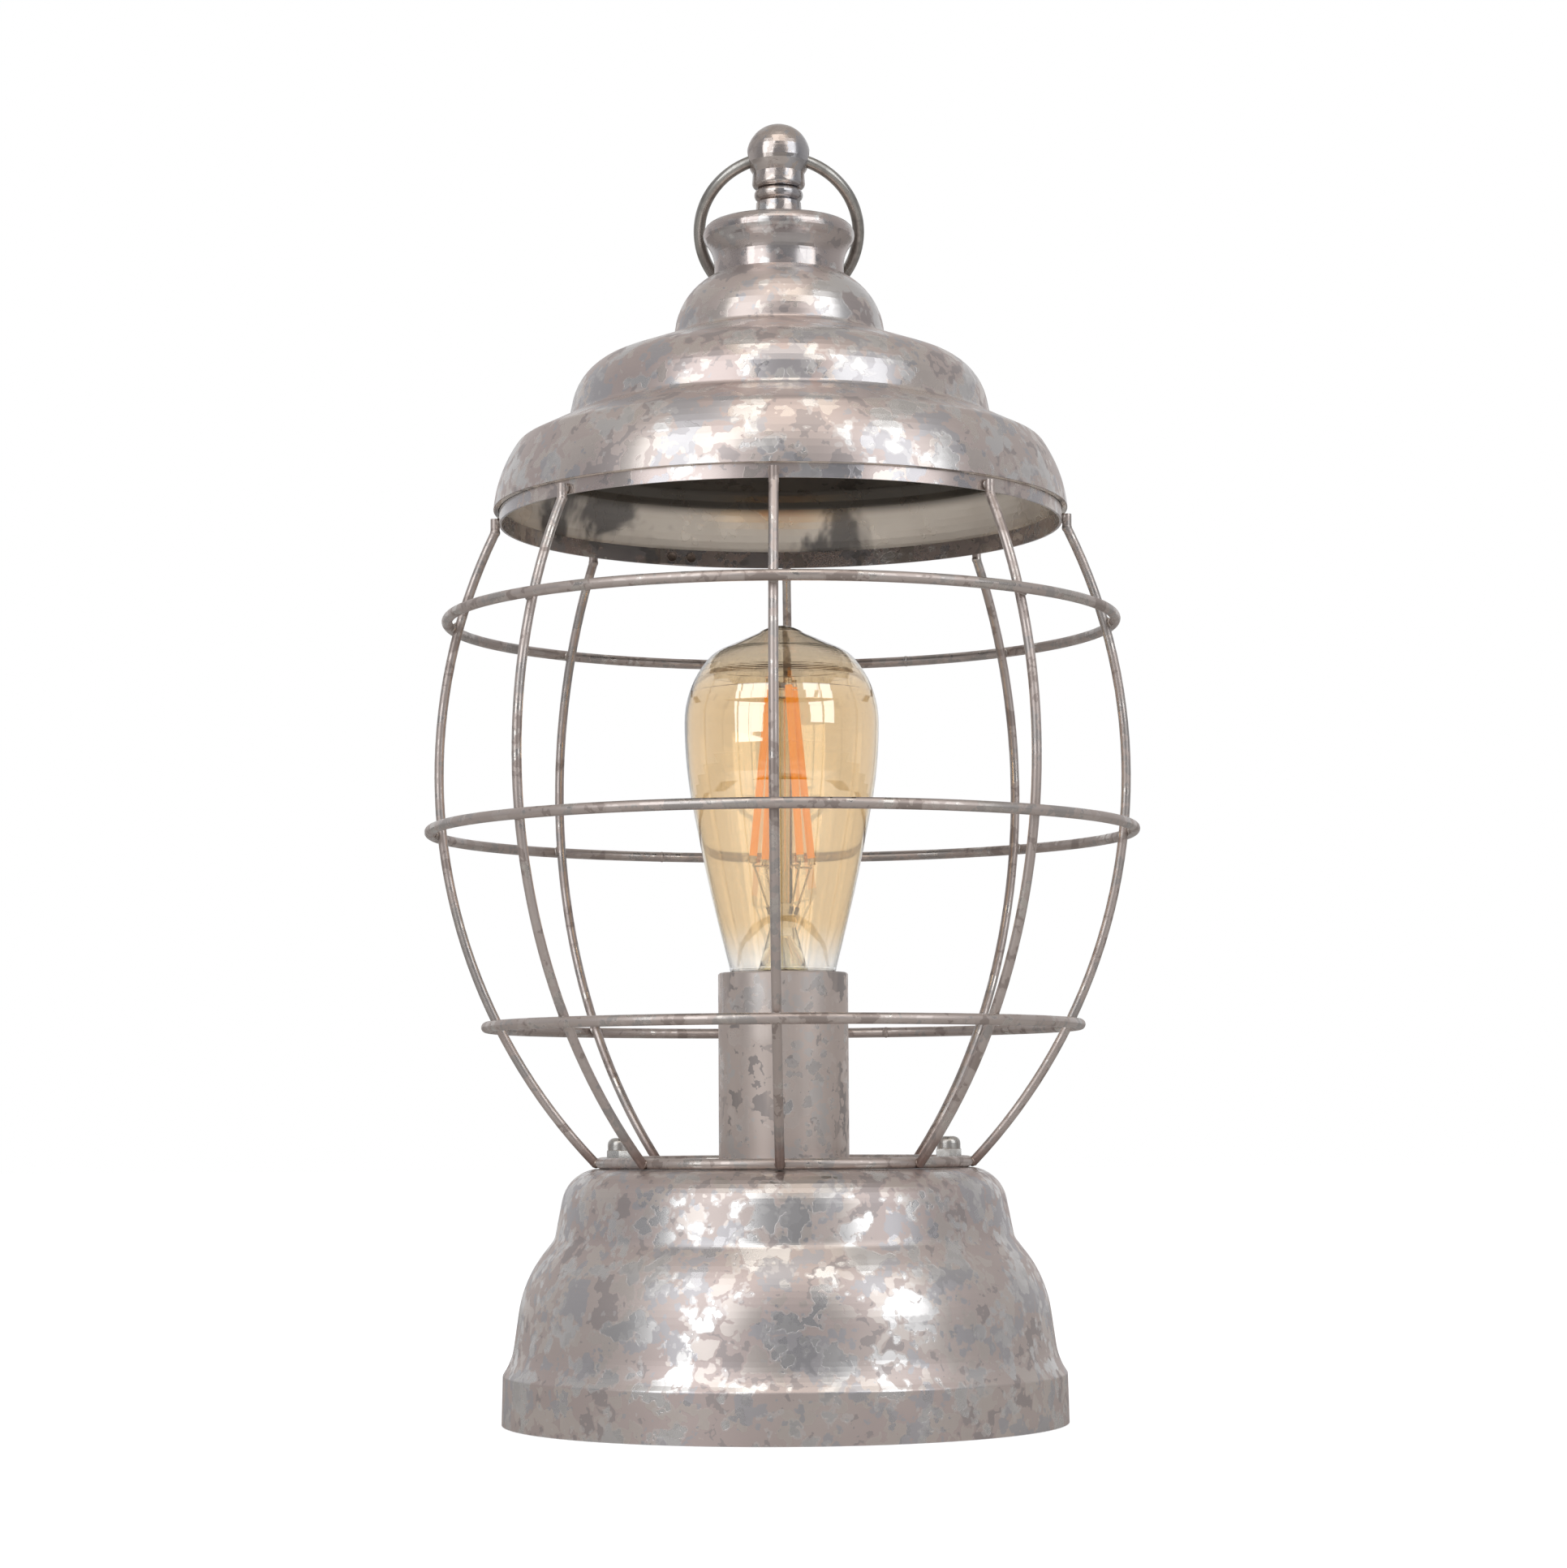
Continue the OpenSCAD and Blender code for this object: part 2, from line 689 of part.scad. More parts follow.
// Lead wires at the foot and short hooks at the head of each filament
module bulb_wires() {
    lead_x = stem_r - 1;
    lead_z = glass_z + stem_h - 3;
    reach = filament_out - 0.3 - lead_x;
    rise = filament_z - touch_gap - 0.3 - lead_z;
    head_z = filament_z + filament_l;
    zinc()
        for (i = [0:filament_n - 1])
            rotate([0, 0, filament_turn + i * 360 / filament_n]) {
                translate([lead_x + 1.2, 0, lead_z])
                    rotate([0, atan((reach - 1.2) / rise), 0])
                        cylinder(r = wire_r, h = sqrt(rise * rise + pow(reach - 1.2, 2)));
                translate([1.5, 0, head_z - 1.4])
                    rotate([0, 45, 0])
                        cylinder(r = wire_r, h = 2.6);
            }
}

module cage() {
    rotate([0, 0, cage_turn])
        children();
}

module cage_foot_ring() {
    galvanised()
        translate([0, 0, foot_ring_z])
            wire_ring(foot_ring_r, foot_ring_d);
}

// Tabs inside the foot ring that the bolts pass through
module cage_tabs() {
    reach = foot_ring_r - foot_ring_d / 2 - touch_gap - nut_x;
    galvanised()
        for (side = [0, 180])
            rotate([0, 0, side])
                translate([nut_x, 0, base_h])
                    difference() {
                        linear_extrude(tab_t)
                            difference() {
                                union() {
                                    circle(d = tab_w);
                                    translate([0, -tab_w / 2])
                                        square([reach + 2, tab_w]);
                                }
                                difference() {
                                    translate([0, -tab_w])
                                        square([tab_w * 2, tab_w * 2]);
                                    translate([-nut_x, 0])
                                        circle(r = nut_x + reach - 0.05, $fn = 180);
                                }
                            }
                        translate([0, 0, -1])
                            cylinder(d = bolt_d + slip_gap, h = tab_t + 2);
                    }
}

// Bolts that stand up through the base and the tabs
module cage_bolts() {
    zinc()
        sides() {
            translate([0, 0, base_h - base_wall])
                cylinder(d = bolt_d, h = base_wall + tab_t + washer_t + bolt_end);
            translate([0, 0, base_h - base_wall - bolt_head_h])
                cylinder(r = bolt_head_r, h = bolt_head_h);
        }
}

module cage_washers() {
    zinc()
        sides()
            translate([0, 0, base_h + tab_t])
                tube(cap_nut_af / 2 + nut_gap / 2, bolt_d / 2 + 0.15, washer_t);
}

// Domed nuts, one on each side of the foot ring
module cap_nuts() {
    dome_r = cap_nut_af / 2 - 0.15;
    dome_z = cap_hex_h + max(0.02, cap_nut_h - cap_hex_h - dome_r);
    zinc()
        sides()
            translate([0, 0, base_h + tab_t + washer_t])
                difference() {
                    union() {
                        intersection() {
                            rotate([0, 0, 30])
                                hex(cap_nut_af, cap_hex_h);
                            cylinder(r1 = cap_nut_af / 2 + 4.3, r2 = cap_nut_af / 2 + 0.1,
                                h = cap_hex_h + 0.01);
                        }
                        translate([0, 0, cap_hex_h - 0.01])
                            cylinder(r = dome_r, h = dome_z - cap_hex_h + 0.02);
                        difference() {
                            translate([0, 0, dome_z])
                                sphere(r = dome_r, $fn = 48);
                            translate([0, 0, dome_z - dome_r - 4])
                                cylinder(r = dome_r + 1, h = dome_r + 4);
                        }
                    }
                    translate([0, 0, -1])
                        cylinder(d = bolt_d + 2 * thread_gap, h = bolt_end + 1.2);
                }
}

// One bowed rib with a knee at its upright end, coped over the foot ring
module rib(i) {
    galvanised()
        cage()
            rotate([0, 0, i * 360 / rib_n])
                difference() {
                    union() {
                        translate([rib_c, 0, rib_mid_z])
                            rotate([90, 0, 0])
                                rotate([0, 0, -rib_low_a])
                                    rotate_extrude(angle = rib_low_a + rib_high_a, $fn = 180)
                                        translate([rib_bend, 0])
                                            circle(d = rib_d, $fn = 32);
                        translate([rib_top_x, 0, knee_z]) {
                            cylinder(d = rib_d, h = rib_top_z - knee_z, $fn = 32);
                            sphere(r = knee_r, $fn = 32);
                        }
                    }
                    translate([0, 0, foot_ring_z])
                        wire_ring(foot_ring_r, foot_ring_d + 2 * touch_gap);
                }
}

// Line of a rib at a height, and the hoop that lies against its outer side
function rib_at(z) = rib_c + sqrt(pow(rib_bend, 2) - pow(z - rib_mid_z, 2));
function rib_cos(z) = sqrt(1 - pow((z - rib_mid_z) / rib_bend, 2));
function hoop_at(z) = rib_at(z) + ((rib_d + hoop_d) / 2 + touch_gap) / rib_cos(z);

module hoop(z) {
    galvanised()
        translate([0, 0, z])
            wire_ring(hoop_at(z), hoop_d);
}

// Flat strap under the lid with its lapped joint at the back
module cage_strap() {
    r = strap_d / 2;
    galvanised()
        cage()
            translate([0, 0, strap_z]) {
                tube(r, r - strap_t, strap_h, $fn = 180);
                rotate([0, 0, lap_turn])
                    rotate_extrude(angle = lap_a, $fn = 180)
                        translate([r - 2 * strap_t, 0.3])
                            square([strap_t + 0.1, strap_h - 0.6]);
            }
}

// Spun lid with a folded hem inside its brim
module lid_canopy() {
    hem_in = [for (p = sink(brim_side, hem_t)) if (p[1] < rim_z + hem_h) p];
    wall_in = [for (p = sink(concat(brim_side, lid_line), lid_wall))
        if (p[1] > rim_z + hem_h + 0.8) p];
    hole = stud_d / 2 + slip_gap;
    galvanised()
        rotate_extrude($fn = 180)
            polygon(concat(brim_side, lid_line,
                [[hole, lid_top], [hole, lid_top - lid_wall]],
                flip(wall_in), flip(hem_in)));
}

// Waisted chimney with a flared crown, seated on the flat of the lid
module lid_chimney() {
    inner = sink(crown_line, lid_wall);
    hole = stud_d / 2 + slip_gap;
    galvanised()
        rotate_extrude($fn = 120)
            polygon(concat(crown_line, [crown_in, [hole, finial_z]],
                [[hole, finial_z - lid_wall], [collar_r, finial_z - lid_wall]],
                flip([for (i = [1:len(inner) - 1]) inner[i]]),
                [[chimney_r - lid_wall, lid_top]]));
}

// Turned finial: collar, two beads and a ball drilled across for the ring
module finial() {
    bore = stud_d / 2 + thread_gap;
    bore_h = collar_h + bead_low_h;
    z1 = finial_z + collar_h;
    z2 = z1 + bead_low_h;
    z3 = z2 + bead_up_h;
    rl = bead_low_h / 2;
    ru = bead_up_h / 3;
    ball_a = asin((z3 - ball_z) / (ball_d / 2));
    galvanised()
        difference() {
            rotate_extrude($fn = 96)
                polygon(concat([[bore, finial_z], [collar_r, finial_z],
                    [collar_r - 0.3, z1 - 0.5]],
                    arc([bead_low_r - rl, z1 + rl], rl, -75, 75, 8),
                    arc([bead_up_r - ru, z2 + ru], ru, -75, 15, 6),
                    arc([0, ball_z], ball_d / 2, ball_a, 90, 18),
                    [[0, finial_z + bore_h], [bore, finial_z + bore_h]]));
            translate([-ball_d, 0, pivot_z])
                rotate([0, 90, 0])
                    cylinder(r = ring_hole_r, h = 2 * ball_d, $fn = 64);
        }
}

module finial_stud() {
    low = lid_top - lid_wall - washer_t - 5 - 2;
    zinc()
        translate([0, 0, low])
            cylinder(d = stud_d, h = finial_z + collar_h + bead_low_h - touch_gap - low);
}

module finial_nut() {
    zinc()
        translate([0, 0, lid_top - lid_wall - washer_t - 5])
            hex_nut(10, 5, stud_d + 2 * thread_gap);
}

module finial_washer() {
    zinc()
        translate([0, 0, lid_top - lid_wall - washer_t])
            tube(8, stud_d / 2 + 0.2, washer_t);
}

// Round carry ring through the ball, at rest against the back of the lid
module carry_ring() {
    galvanised()
        translate([0, 0, pivot_z])
            rotate([ring_lean, 0, 0])
                translate([0, 0, -ring_drop])
                    rotate([90, 0, 0])
                        wire_ring(ring_r, ring_d);
}

base_shell();
base_plate();
base_weight();
weight_screws();
cord_grommet();
nipple();
nipple_nuts();
nipple_washers();
socket_tube();
lampholder_body();
lampholder_shell();
lampholder_contact();
bulb_cap();
bulb_insulator();
bulb_eyelet();
bulb_glass();
bulb_stem();
bulb_filaments();
bulb_wires();
cage_foot_ring();
cage_tabs();
cage_bolts();
cage_washers();
cap_nuts();
rib(0);  // rib_1
rib(1);  // rib_2
rib(2);  // rib_3
rib(3);  // rib_4
rib(4);  // rib_5
rib(5);  // rib_6
rib(6);  // rib_7
rib(7);  // rib_8
hoop(hoop_low_z);  // hoop_lower
hoop(hoop_mid_z);  // hoop_middle
hoop(hoop_up_z);  // hoop_upper
cage_strap();
lid_canopy();
lid_chimney();
finial();
finial_stud();
finial_nut();
finial_washer();
carry_ring();
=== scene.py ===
"""Dresses the caged lantern table lamp: finishes, welds, bulb parts, studio and camera."""

import logging
import math
from dataclasses import dataclass, field, replace
from enum import Enum
from typing import Any, Callable, Iterable, Optional, Union

import bpy
from mathutils import Matrix, Vector


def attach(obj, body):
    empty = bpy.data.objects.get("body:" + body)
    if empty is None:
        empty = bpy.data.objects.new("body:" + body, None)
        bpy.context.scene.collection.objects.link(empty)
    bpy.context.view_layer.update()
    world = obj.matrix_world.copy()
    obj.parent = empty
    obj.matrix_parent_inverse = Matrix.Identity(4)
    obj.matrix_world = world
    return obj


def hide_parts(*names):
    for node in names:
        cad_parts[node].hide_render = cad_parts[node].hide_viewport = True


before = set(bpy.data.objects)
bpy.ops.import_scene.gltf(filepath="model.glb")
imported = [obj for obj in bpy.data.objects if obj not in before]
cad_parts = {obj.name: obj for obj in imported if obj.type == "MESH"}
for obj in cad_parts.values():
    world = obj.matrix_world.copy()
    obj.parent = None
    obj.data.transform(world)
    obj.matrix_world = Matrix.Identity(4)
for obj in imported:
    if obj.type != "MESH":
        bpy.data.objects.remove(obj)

LOG = logging.getLogger("lantern")

Colour = tuple[float, float, float]
Place = tuple[float, float, float]
Place2 = tuple[float, float]
Sockets = dict[Union[str, int], Any]

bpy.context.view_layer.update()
MM = 0.001
SQUARE_ON = 0.9
SIDEWAYS = 0.1


class Body(Enum):
    """The bodies that pieces ride on."""

    LAMP = "lamp"
    BULB = "bulb"
    RING = "carry_ring"


# Shader building blocks


class Amount:
    """A number that varies over a surface: a socket with arithmetic."""

    def __init__(self, board: "Board", socket: bpy.types.NodeSocket) -> None:
        """Wraps a socket.

        Args:
            board: The material that the socket belongs to.
            socket: The output socket that gives the number.
        """
        self.board = board
        self.socket = socket

    def _math(self, operation: str, first: Any, second: Any = 0.0) -> "Amount":
        """Adds one Math node.

        Args:
            operation: The node's operation.
            first: The left operand.
            second: The right operand.

        Returns:
            The node's result.
        """
        made = self.board.node("ShaderNodeMath", {"operation": operation}, {0: first, 1: second})
        return Amount(self.board, made.outputs[0])

    def __add__(self, other: Any) -> "Amount":
        """Self plus other."""
        return self._math("ADD", self, other)

    def __radd__(self, other: Any) -> "Amount":
        """Other plus self."""
        return self._math("ADD", other, self)

    def __sub__(self, other: Any) -> "Amount":
        """Self minus other."""
        return self._math("SUBTRACT", self, other)

    def __rsub__(self, other: Any) -> "Amount":
        """Other minus self."""
        return self._math("SUBTRACT", other, self)

    def __mul__(self, other: Any) -> "Amount":
        """Self times other."""
        return self._math("MULTIPLY", self, other)

    def __rmul__(self, other: Any) -> "Amount":
        """Other times self."""
        return self._math("MULTIPLY", other, self)

    def top(self, other: Any) -> "Amount":
        """The larger of self and other."""
        return self._math("MAXIMUM", self, other)

    def step(self, low: float, high: float) -> "Amount":
        """A soft step.

        Args:
            low: The value at which the step starts from 0.
            high: The value at which it reaches 1.

        Returns:
            The step, from 0 to 1.
        """
        made = self.board.node(
            "ShaderNodeMapRange",
            {"interpolation_type": "SMOOTHSTEP"},
            {"Value": self, "From Min": low, "From Max": high},
        )
        return Amount(self.board, made.outputs[0])

    def spread(self, low: float, high: float) -> "Amount":
        """Maps 0 to 1 onto a range.

        Args:
            low: The value for 0.
            high: The value for 1.

        Returns:
            The mapped value.
        """
        made = self.board.node("ShaderNodeMapRange", {}, {"Value": self, "To Min": low, "To Max": high})
        return Amount(self.board, made.outputs[0])


class Board:
    """A node tree under construction, of a material or of the world."""

    def __init__(self, name: str, tree: Optional[bpy.types.NodeTree] = None) -> None:
        """Starts an empty tree.

        Args:
            name: The material's name.
            tree: The world's tree, or None for a new material.
        """
        self.material: Optional[bpy.types.Material] = None
        if tree is None:
            self.material = bpy.data.materials.new(name)
            self.material.use_nodes = True
            tree = self.material.node_tree
        self.tree = tree
        self.tree.nodes.clear()

    def node(
        self,
        kind: str,
        settings: Optional[dict[str, Any]] = None,
        sockets: Optional[Sockets] = None,
    ) -> bpy.types.Node:
        """Adds a node.

        Args:
            kind: The node's type.
            settings: Its properties, set first; "stops" are a ramp's (place, colour) pairs.
            sockets: The values or links of its inputs, by name or number.

        Returns:
            The new node.
        """
        made = self.tree.nodes.new(kind)
        for key, value in (settings or {}).items():
            if key == "stops":
                for index, (place, colour) in enumerate(value):
                    stops = made.color_ramp.elements
                    stop = stops[index] if index < len(stops) else stops.new(place)
                    stop.position = place
                    stop.color = (*colour, 1.0)
            else:
                setattr(made, key, value)
        for key, value in (sockets or {}).items():
            into = made.inputs[key]
            if isinstance(value, Amount):
                value = value.socket
            if isinstance(value, bpy.types.NodeSocket):
                self.tree.links.new(value, into)
            elif into.type == "RGBA" and len(value) == 3:
                into.default_value = (*value, 1.0)
            else:
                into.default_value = value
        return made

    def place(self, shift: Place = (0.0, 0.0, 0.0), stretch: Place = (1.0, 1.0, 1.0)) -> Any:
        """The surface's place in the lamp's own frame.

        Args:
            shift: A shift that gives each finish its own pattern.
            stretch: A stretch along X, Y and Z.

        Returns:
            The vector socket.
        """
        coordinate = self.node("ShaderNodeTexCoord").outputs["Object"]
        sockets = {"Vector": coordinate, "Location": shift, "Scale": stretch}
        return self.node("ShaderNodeMapping", {}, sockets).outputs[0]

    def height(self) -> Amount:
        """The height above the table, in metres."""
        split = self.node("ShaderNodeSeparateXYZ", {}, {0: self.place()})
        return Amount(self, split.outputs["Z"])

    def noise(
        self,
        place: Any,
        scale: float,
        detail: float = 3.0,
        rough: float = 0.55,
        bend: float = 0.0,
    ) -> Amount:
        """Fractal noise.

        Args:
            place: The vector to read it at.
            scale: Repeats to a metre.
            detail: Octaves.
            rough: Weight of the fine octaves.
            bend: Distortion of the pattern.

        Returns:
            The noise, from 0 to 1.
        """
        sockets = {"Vector": place, "Scale": scale, "Detail": detail, "Roughness": rough, "Distortion": bend}
        return Amount(self, self.node("ShaderNodeTexNoise", {}, sockets).outputs[0])

    def warp(self, place: Any, scale: float, reach: float) -> Any:
        """Moves a vector about, so that the patterns read at it get ragged edges.

        Args:
            place: The vector.
            scale: Repeats of the movement to a metre.
            reach: The most that it moves, in metres.

        Returns:
            The moved vector.
        """
        drift = self.node("ShaderNodeTexNoise", {}, {"Vector": place, "Scale": scale, "Detail": 2.0})
        centred = self.vector("SUBTRACT", {0: drift.outputs["Color"], 1: (0.5, 0.5, 0.5)})
        scaled = self.vector("SCALE", {0: centred, "Scale": 2 * reach})
        return self.vector("ADD", {0: place, 1: scaled})

    def vector(self, operation: str, sockets: Sockets) -> Any:
        """Adds one Vector Math node.

        Args:
            operation: The node's operation.
            sockets: The values or links of its inputs.

        Returns:
            The node's vector.
        """
        return self.node("ShaderNodeVectorMath", {"operation": operation}, sockets).outputs["Vector"]

    def lobes(self, place: Any, scale: float) -> Amount:
        """Rounded blobs that touch, so that a threshold on them gets scalloped edges.

        Args:
            place: The vector to read them at.
            scale: Blobs to a metre.

        Returns:
            About 1 in a blob's middle and 0.4 where two blobs meet.
        """
        made = self.node("ShaderNodeTexVoronoi", {"feature": "F1"}, {"Vector": place, "Scale": scale})
        return 1 - Amount(self, made.outputs["Distance"])

    def within(self, line: tuple[Place2, ...]) -> Amount:
        """Tells the inner side of a spun sheet from its outer side.

        Args:
            line: The middle of the sheet's wall from below, as (height, radius) in millimetres.

        Returns:
            1 nearer the axis than the line, else 0.
        """
        low, high = line[0][0], line[-1][0]
        widest = max(radius for _, radius in line)
        stops = [((z - low) / (high - low), (radius / widest,) * 3) for z, radius in line]
        level = (self.height() * 1000.0 - low) * (1 / (high - low))
        wall = self.node("ShaderNodeValToRGB", {"stops": stops}, {0: level})
        flat = self.place(stretch=(1.0, 1.0, 0.0))
        reach = self.node("ShaderNodeVectorMath", {"operation": "LENGTH"}, {0: flat})
        gap = Amount(self, wall.outputs[0]) * widest - Amount(self, reach.outputs["Value"]) * 1000.0
        return gap.step(-0.05, 0.05)

    def mix(self, share: Any, first: Any, second: Any) -> Any:
        """Mixes two colours.

        Args:
            share: The share of the second colour.
            first: The colour at share 0.
            second: The colour at share 1.

        Returns:
            The colour socket.
        """
        sockets = {0: share, 6: first, 7: second}
        return self.node("ShaderNodeMix", {"data_type": "RGBA"}, sockets).outputs[2]

    def relief(self, height: Amount, depth: float, strength: float = 1.0, under: Any = None) -> Any:
        """A bumped normal.

        Args:
            height: The height from 0 to 1.
            depth: What a height of 1 is worth, in metres.
            strength: Strength of the bump.
            under: A normal to bump further.

        Returns:
            The normal socket.
        """
        sockets: Sockets = {"Height": height, "Distance": depth, "Strength": strength}
        if under is not None:
            sockets["Normal"] = under
        return self.node("ShaderNodeBump", {}, sockets).outputs[0]

    def principled(self, **sockets: Any) -> bpy.types.NodeSocket:
        """Adds a Principled shader.

        Args:
            sockets: Its inputs, with underscores for spaces.

        Returns:
            The shader socket.
        """
        named: Sockets = {key.replace("_", " "): value for key, value in sockets.items()}
        return self.node("ShaderNodeBsdfPrincipled", {}, named).outputs[0]

    def surface(self, **sockets: Any) -> bpy.types.Material:
        """Ends the tree in a Principled shader.

        Args:
            sockets: Its inputs, with underscores for spaces.

        Returns:
            The finished material.
        """
        return self.finish(self.principled(**sockets))

    def finish(self, shader: bpy.types.NodeSocket) -> bpy.types.Material:
        """Joins a shader to the output.

        Args:
            shader: The shader socket.

        Returns:
            The finished material.
        """
        self.node("ShaderNodeOutputMaterial", {}, {0: shader})
        return self.material


# Finishes


@dataclass
class Skin:
    """What a finish shows of a surface, while it is built up."""

    colour: Any
    rough: Amount
    metallic: Amount
    normal: Any


@dataclass(frozen=True)
class Lining:
    """The clean, stained inner side of a galvanised sheet, with painted shade over its upper part."""

    line: tuple[Place2, ...]
    colour: Colour = (0.86, 0.77, 0.67)
    stain: Colour = (0.15, 0.14, 0.135)
    stain_band: Place2 = (0.50, 0.62)
    stain_share: float = 0.9
    stretch: Place = (1.0, 1.0, 0.8)
    # Painted shade: near-black colour for the inside of the domes above the band of heights below, where the
    # hollow lies in shade.
    painted_shade: Colour = (0.09, 0.078, 0.065)
    painted_shade_band: Place2 = (0.3118, 0.3165)
    dusty: float = 0.28
    rough: float = 0.15

    def cover(self, board: Board, shift: Place, skin: Skin) -> None:
        """Covers the inner side of the sheet.

        Args:
            board: The material under construction.
            shift: The finish's own shift of its patterns.
            skin: What the sheet shows so far, changed in place.
        """
        inner = board.within(self.line)
        fall = board.noise(board.place(shift, self.stretch), 30.0, 4.0, 0.60, 0.4)
        colour = board.mix(fall.step(*self.stain_band) * self.stain_share, self.colour, self.stain)
        # Painted shade: the inner side turns near black above this band of heights, in the hollow of the
        # domes.
        colour = board.mix(board.height().step(*self.painted_shade_band), colour, self.painted_shade)
        skin.colour = board.mix(inner, skin.colour, colour)
        smooth = fall.spread(self.rough - 0.06, self.rough + 0.14)
        skin.rough = skin.rough + inner * (smooth - skin.rough)
        skin.metallic = skin.metallic - inner * self.dusty


@dataclass(frozen=True)
class Galvanised:
    """Hot-dipped zinc: a satin skin in several tones, broken by bright flakes."""

    name: str
    warm: Colour = (0.545, 0.455, 0.43)
    pale: Colour = (0.655, 0.59, 0.54)
    cool: Colour = (0.46, 0.455, 0.475)
    deep: Colour = (0.37, 0.33, 0.325)
    bare: Colour = (0.74, 0.71, 0.69)
    burnt: Colour = (0.25, 0.17, 0.145)
    patch: float = 0.0115
    flake: float = 0.0036
    bare_from: float = 0.558
    bare_edge: float = 0.008
    pale_band: Place2 = (0.535, 0.545)
    cool_band: Place2 = (0.55, 0.565)
    skin_rough: float = 0.43
    bare_rough: float = 0.25
    metal: float = 0.80
    dull: float = 0.0
    specks: float = 0.0
    shift: Place = (0.0, 0.0, 0.0)
    depth: float = 0.00005
    scorch: float = 0.0
    lining: Optional[Lining] = None

    def blots(self, board: Board, away: float, patch: float, flake: float) -> Amount:
        """One layer of the broken pattern.

        Args:
            board: The material under construction.
            away: A shift that sets the layer apart from the others.
            patch: Size of the patches in metres.
            flake: Size of the lobes along their edges in metres.

        Returns:
            The layer's level, about 0.5 on the whole.
        """
        place = board.place(tuple(value + away for value in self.shift))
        loose = board.warp(place, 1 / (1.5 * flake), 0.42 * flake)
        cloud = board.noise(loose, 1 / patch, 2.0, 0.55)
        lobes = board.lobes(loose, 1 / flake)
        crumbs = board.lobes(loose, 1 / (0.37 * flake))
        return cloud + 0.20 * (lobes - 0.55) + 0.07 * (crumbs - 0.55)

    def tones(self, board: Board) -> Skin:
        """The skin's patches of several tones and the bright flakes in it.

        Args:
            board: The material under construction.

        Returns:
            What the clean skin shows.
        """
        place = board.place(self.shift)
        first = self.blots(board, 0.0, self.patch, self.flake)
        second = self.blots(board, 3.7, 0.8 * self.patch, 1.2 * self.flake)
        third = self.blots(board, 8.3, 1.3 * self.patch, 0.9 * self.flake)
        drift = board.noise(place, 1 / (4.0 * self.patch), 2.0)
        grain = board.noise(place, 2400.0, 2.0, 0.6)

        bright = first.step(self.bare_from, self.bare_from + self.bare_edge)
        half = first.step(self.bare_from - 0.040, self.bare_from - 0.030) * 0.38
        pale = second.step(*self.pale_band)
        cool = third.step(*self.cool_band)
        sliver = third.step(0.40, 0.392) * second.step(0.50, 0.47)

        skin = board.mix(drift.step(0.35, 0.65) * 0.35, self.warm, self.pale)
        skin = board.mix(pale * 0.65, skin, self.pale)
        skin = board.mix(cool * 0.75, skin, self.cool)
        skin = board.mix(sliver * 0.7, skin, self.deep)
        duller = tuple(value * 0.84 for value in self.bare)
        metal = board.mix(pale * 0.5 + cool * 0.4, self.bare, duller)
        colour = board.mix(bright.top(half), skin, metal)

        skin_rough = drift.spread(self.skin_rough - 0.05, self.skin_rough + 0.08)
        skin_rough = skin_rough - 0.12 * pale - 0.05 * cool
        bare_rough = drift.spread(self.bare_rough - 0.05, self.bare_rough + 0.09) + 0.06 * cool
        rough = skin_rough + bright.top(half) * (bare_rough - skin_rough) + 0.04 * (grain - 0.5)

        dents = board.noise(place, 38.0, 1.0)
        normal = board.relief(dents, 0.0009, 0.30)
        edge = (1 - bright) * 0.6 + grain * 0.10 + pale * 0.2
        normal = board.relief(edge, self.depth, 0.7, normal)
        return Skin(colour, rough, 1.0 - (1 - self.metal) * (1 - bright), normal)

    def age(self, board: Board, skin: Skin) -> None:
        """Adds specks, dull streaks and a weld's scorch, where the finish has them.

        Args:
            board: The material under construction.
            skin: What the clean skin shows, changed in place.
        """
        place = board.place(self.shift)
        if self.specks > 0:
            flies = board.noise(board.warp(place, 260.0, 0.004), 210.0, 2.0, 0.5)
            skin.colour = board.mix(flies.step(0.66, 0.72) * self.specks, skin.colour, self.deep)
        if self.dull > 0:
            streak = board.noise(board.place(self.shift, (1.0, 1.0, 0.12)), 130.0, 3.0, 0.6)
            dim = tuple(value * (1 - self.dull) for value in self.warm)
            skin.colour = board.mix(streak.step(0.42, 0.68) * 0.8, skin.colour, dim)
        if self.scorch > 0:
            ragged = board.height() + 0.010 * (board.noise(place, 160.0, 3.0) - 0.5)
            burnt = ragged.step(self.scorch + 0.012, self.scorch)
            skin.colour = board.mix(burnt * 0.85, skin.colour, self.burnt)
            skin.rough = skin.rough + 0.10 * burnt

    def make(self) -> bpy.types.Material:
        """Builds the material.

        Returns:
            The material.
        """
        board = Board(self.name)
        skin = self.tones(board)
        self.age(board, skin)
        if self.lining is not None:
            self.lining.cover(board, self.shift, skin)
        return board.surface(
            Base_Color=skin.colour, Metallic=skin.metallic, Roughness=skin.rough, Normal=skin.normal
        )


@dataclass(frozen=True)
class PlainMetal:
    """Plain metal with fine scratches, soft stains and a little wear."""

    name: str
    colour: Colour
    stain: Colour
    rough: float = 0.30
    grain: float = 900.0
    patch: float = 0.012
    depth: float = 0.00002
    metallic: float = 1.0

    def make(self) -> bpy.types.Material:
        """Builds the material.

        Returns:
            The material.
        """
        board = Board(self.name)
        place = board.place()
        cloud = board.noise(board.warp(place, 300.0, 0.002), 1 / self.patch, 4.0, 0.6)
        grain = board.noise(place, self.grain, 3.0, 0.6)
        worn = cloud.step(0.42, 0.66)
        colour = board.mix(worn * 0.75, self.colour, self.stain)
        rough = self.rough + 0.16 * (worn - 0.4) + 0.10 * (grain - 0.5)
        normal = board.relief(grain * 0.6 + cloud * 0.8, self.depth, 0.7)
        return board.surface(Base_Color=colour, Metallic=self.metallic, Roughness=rough, Normal=normal)


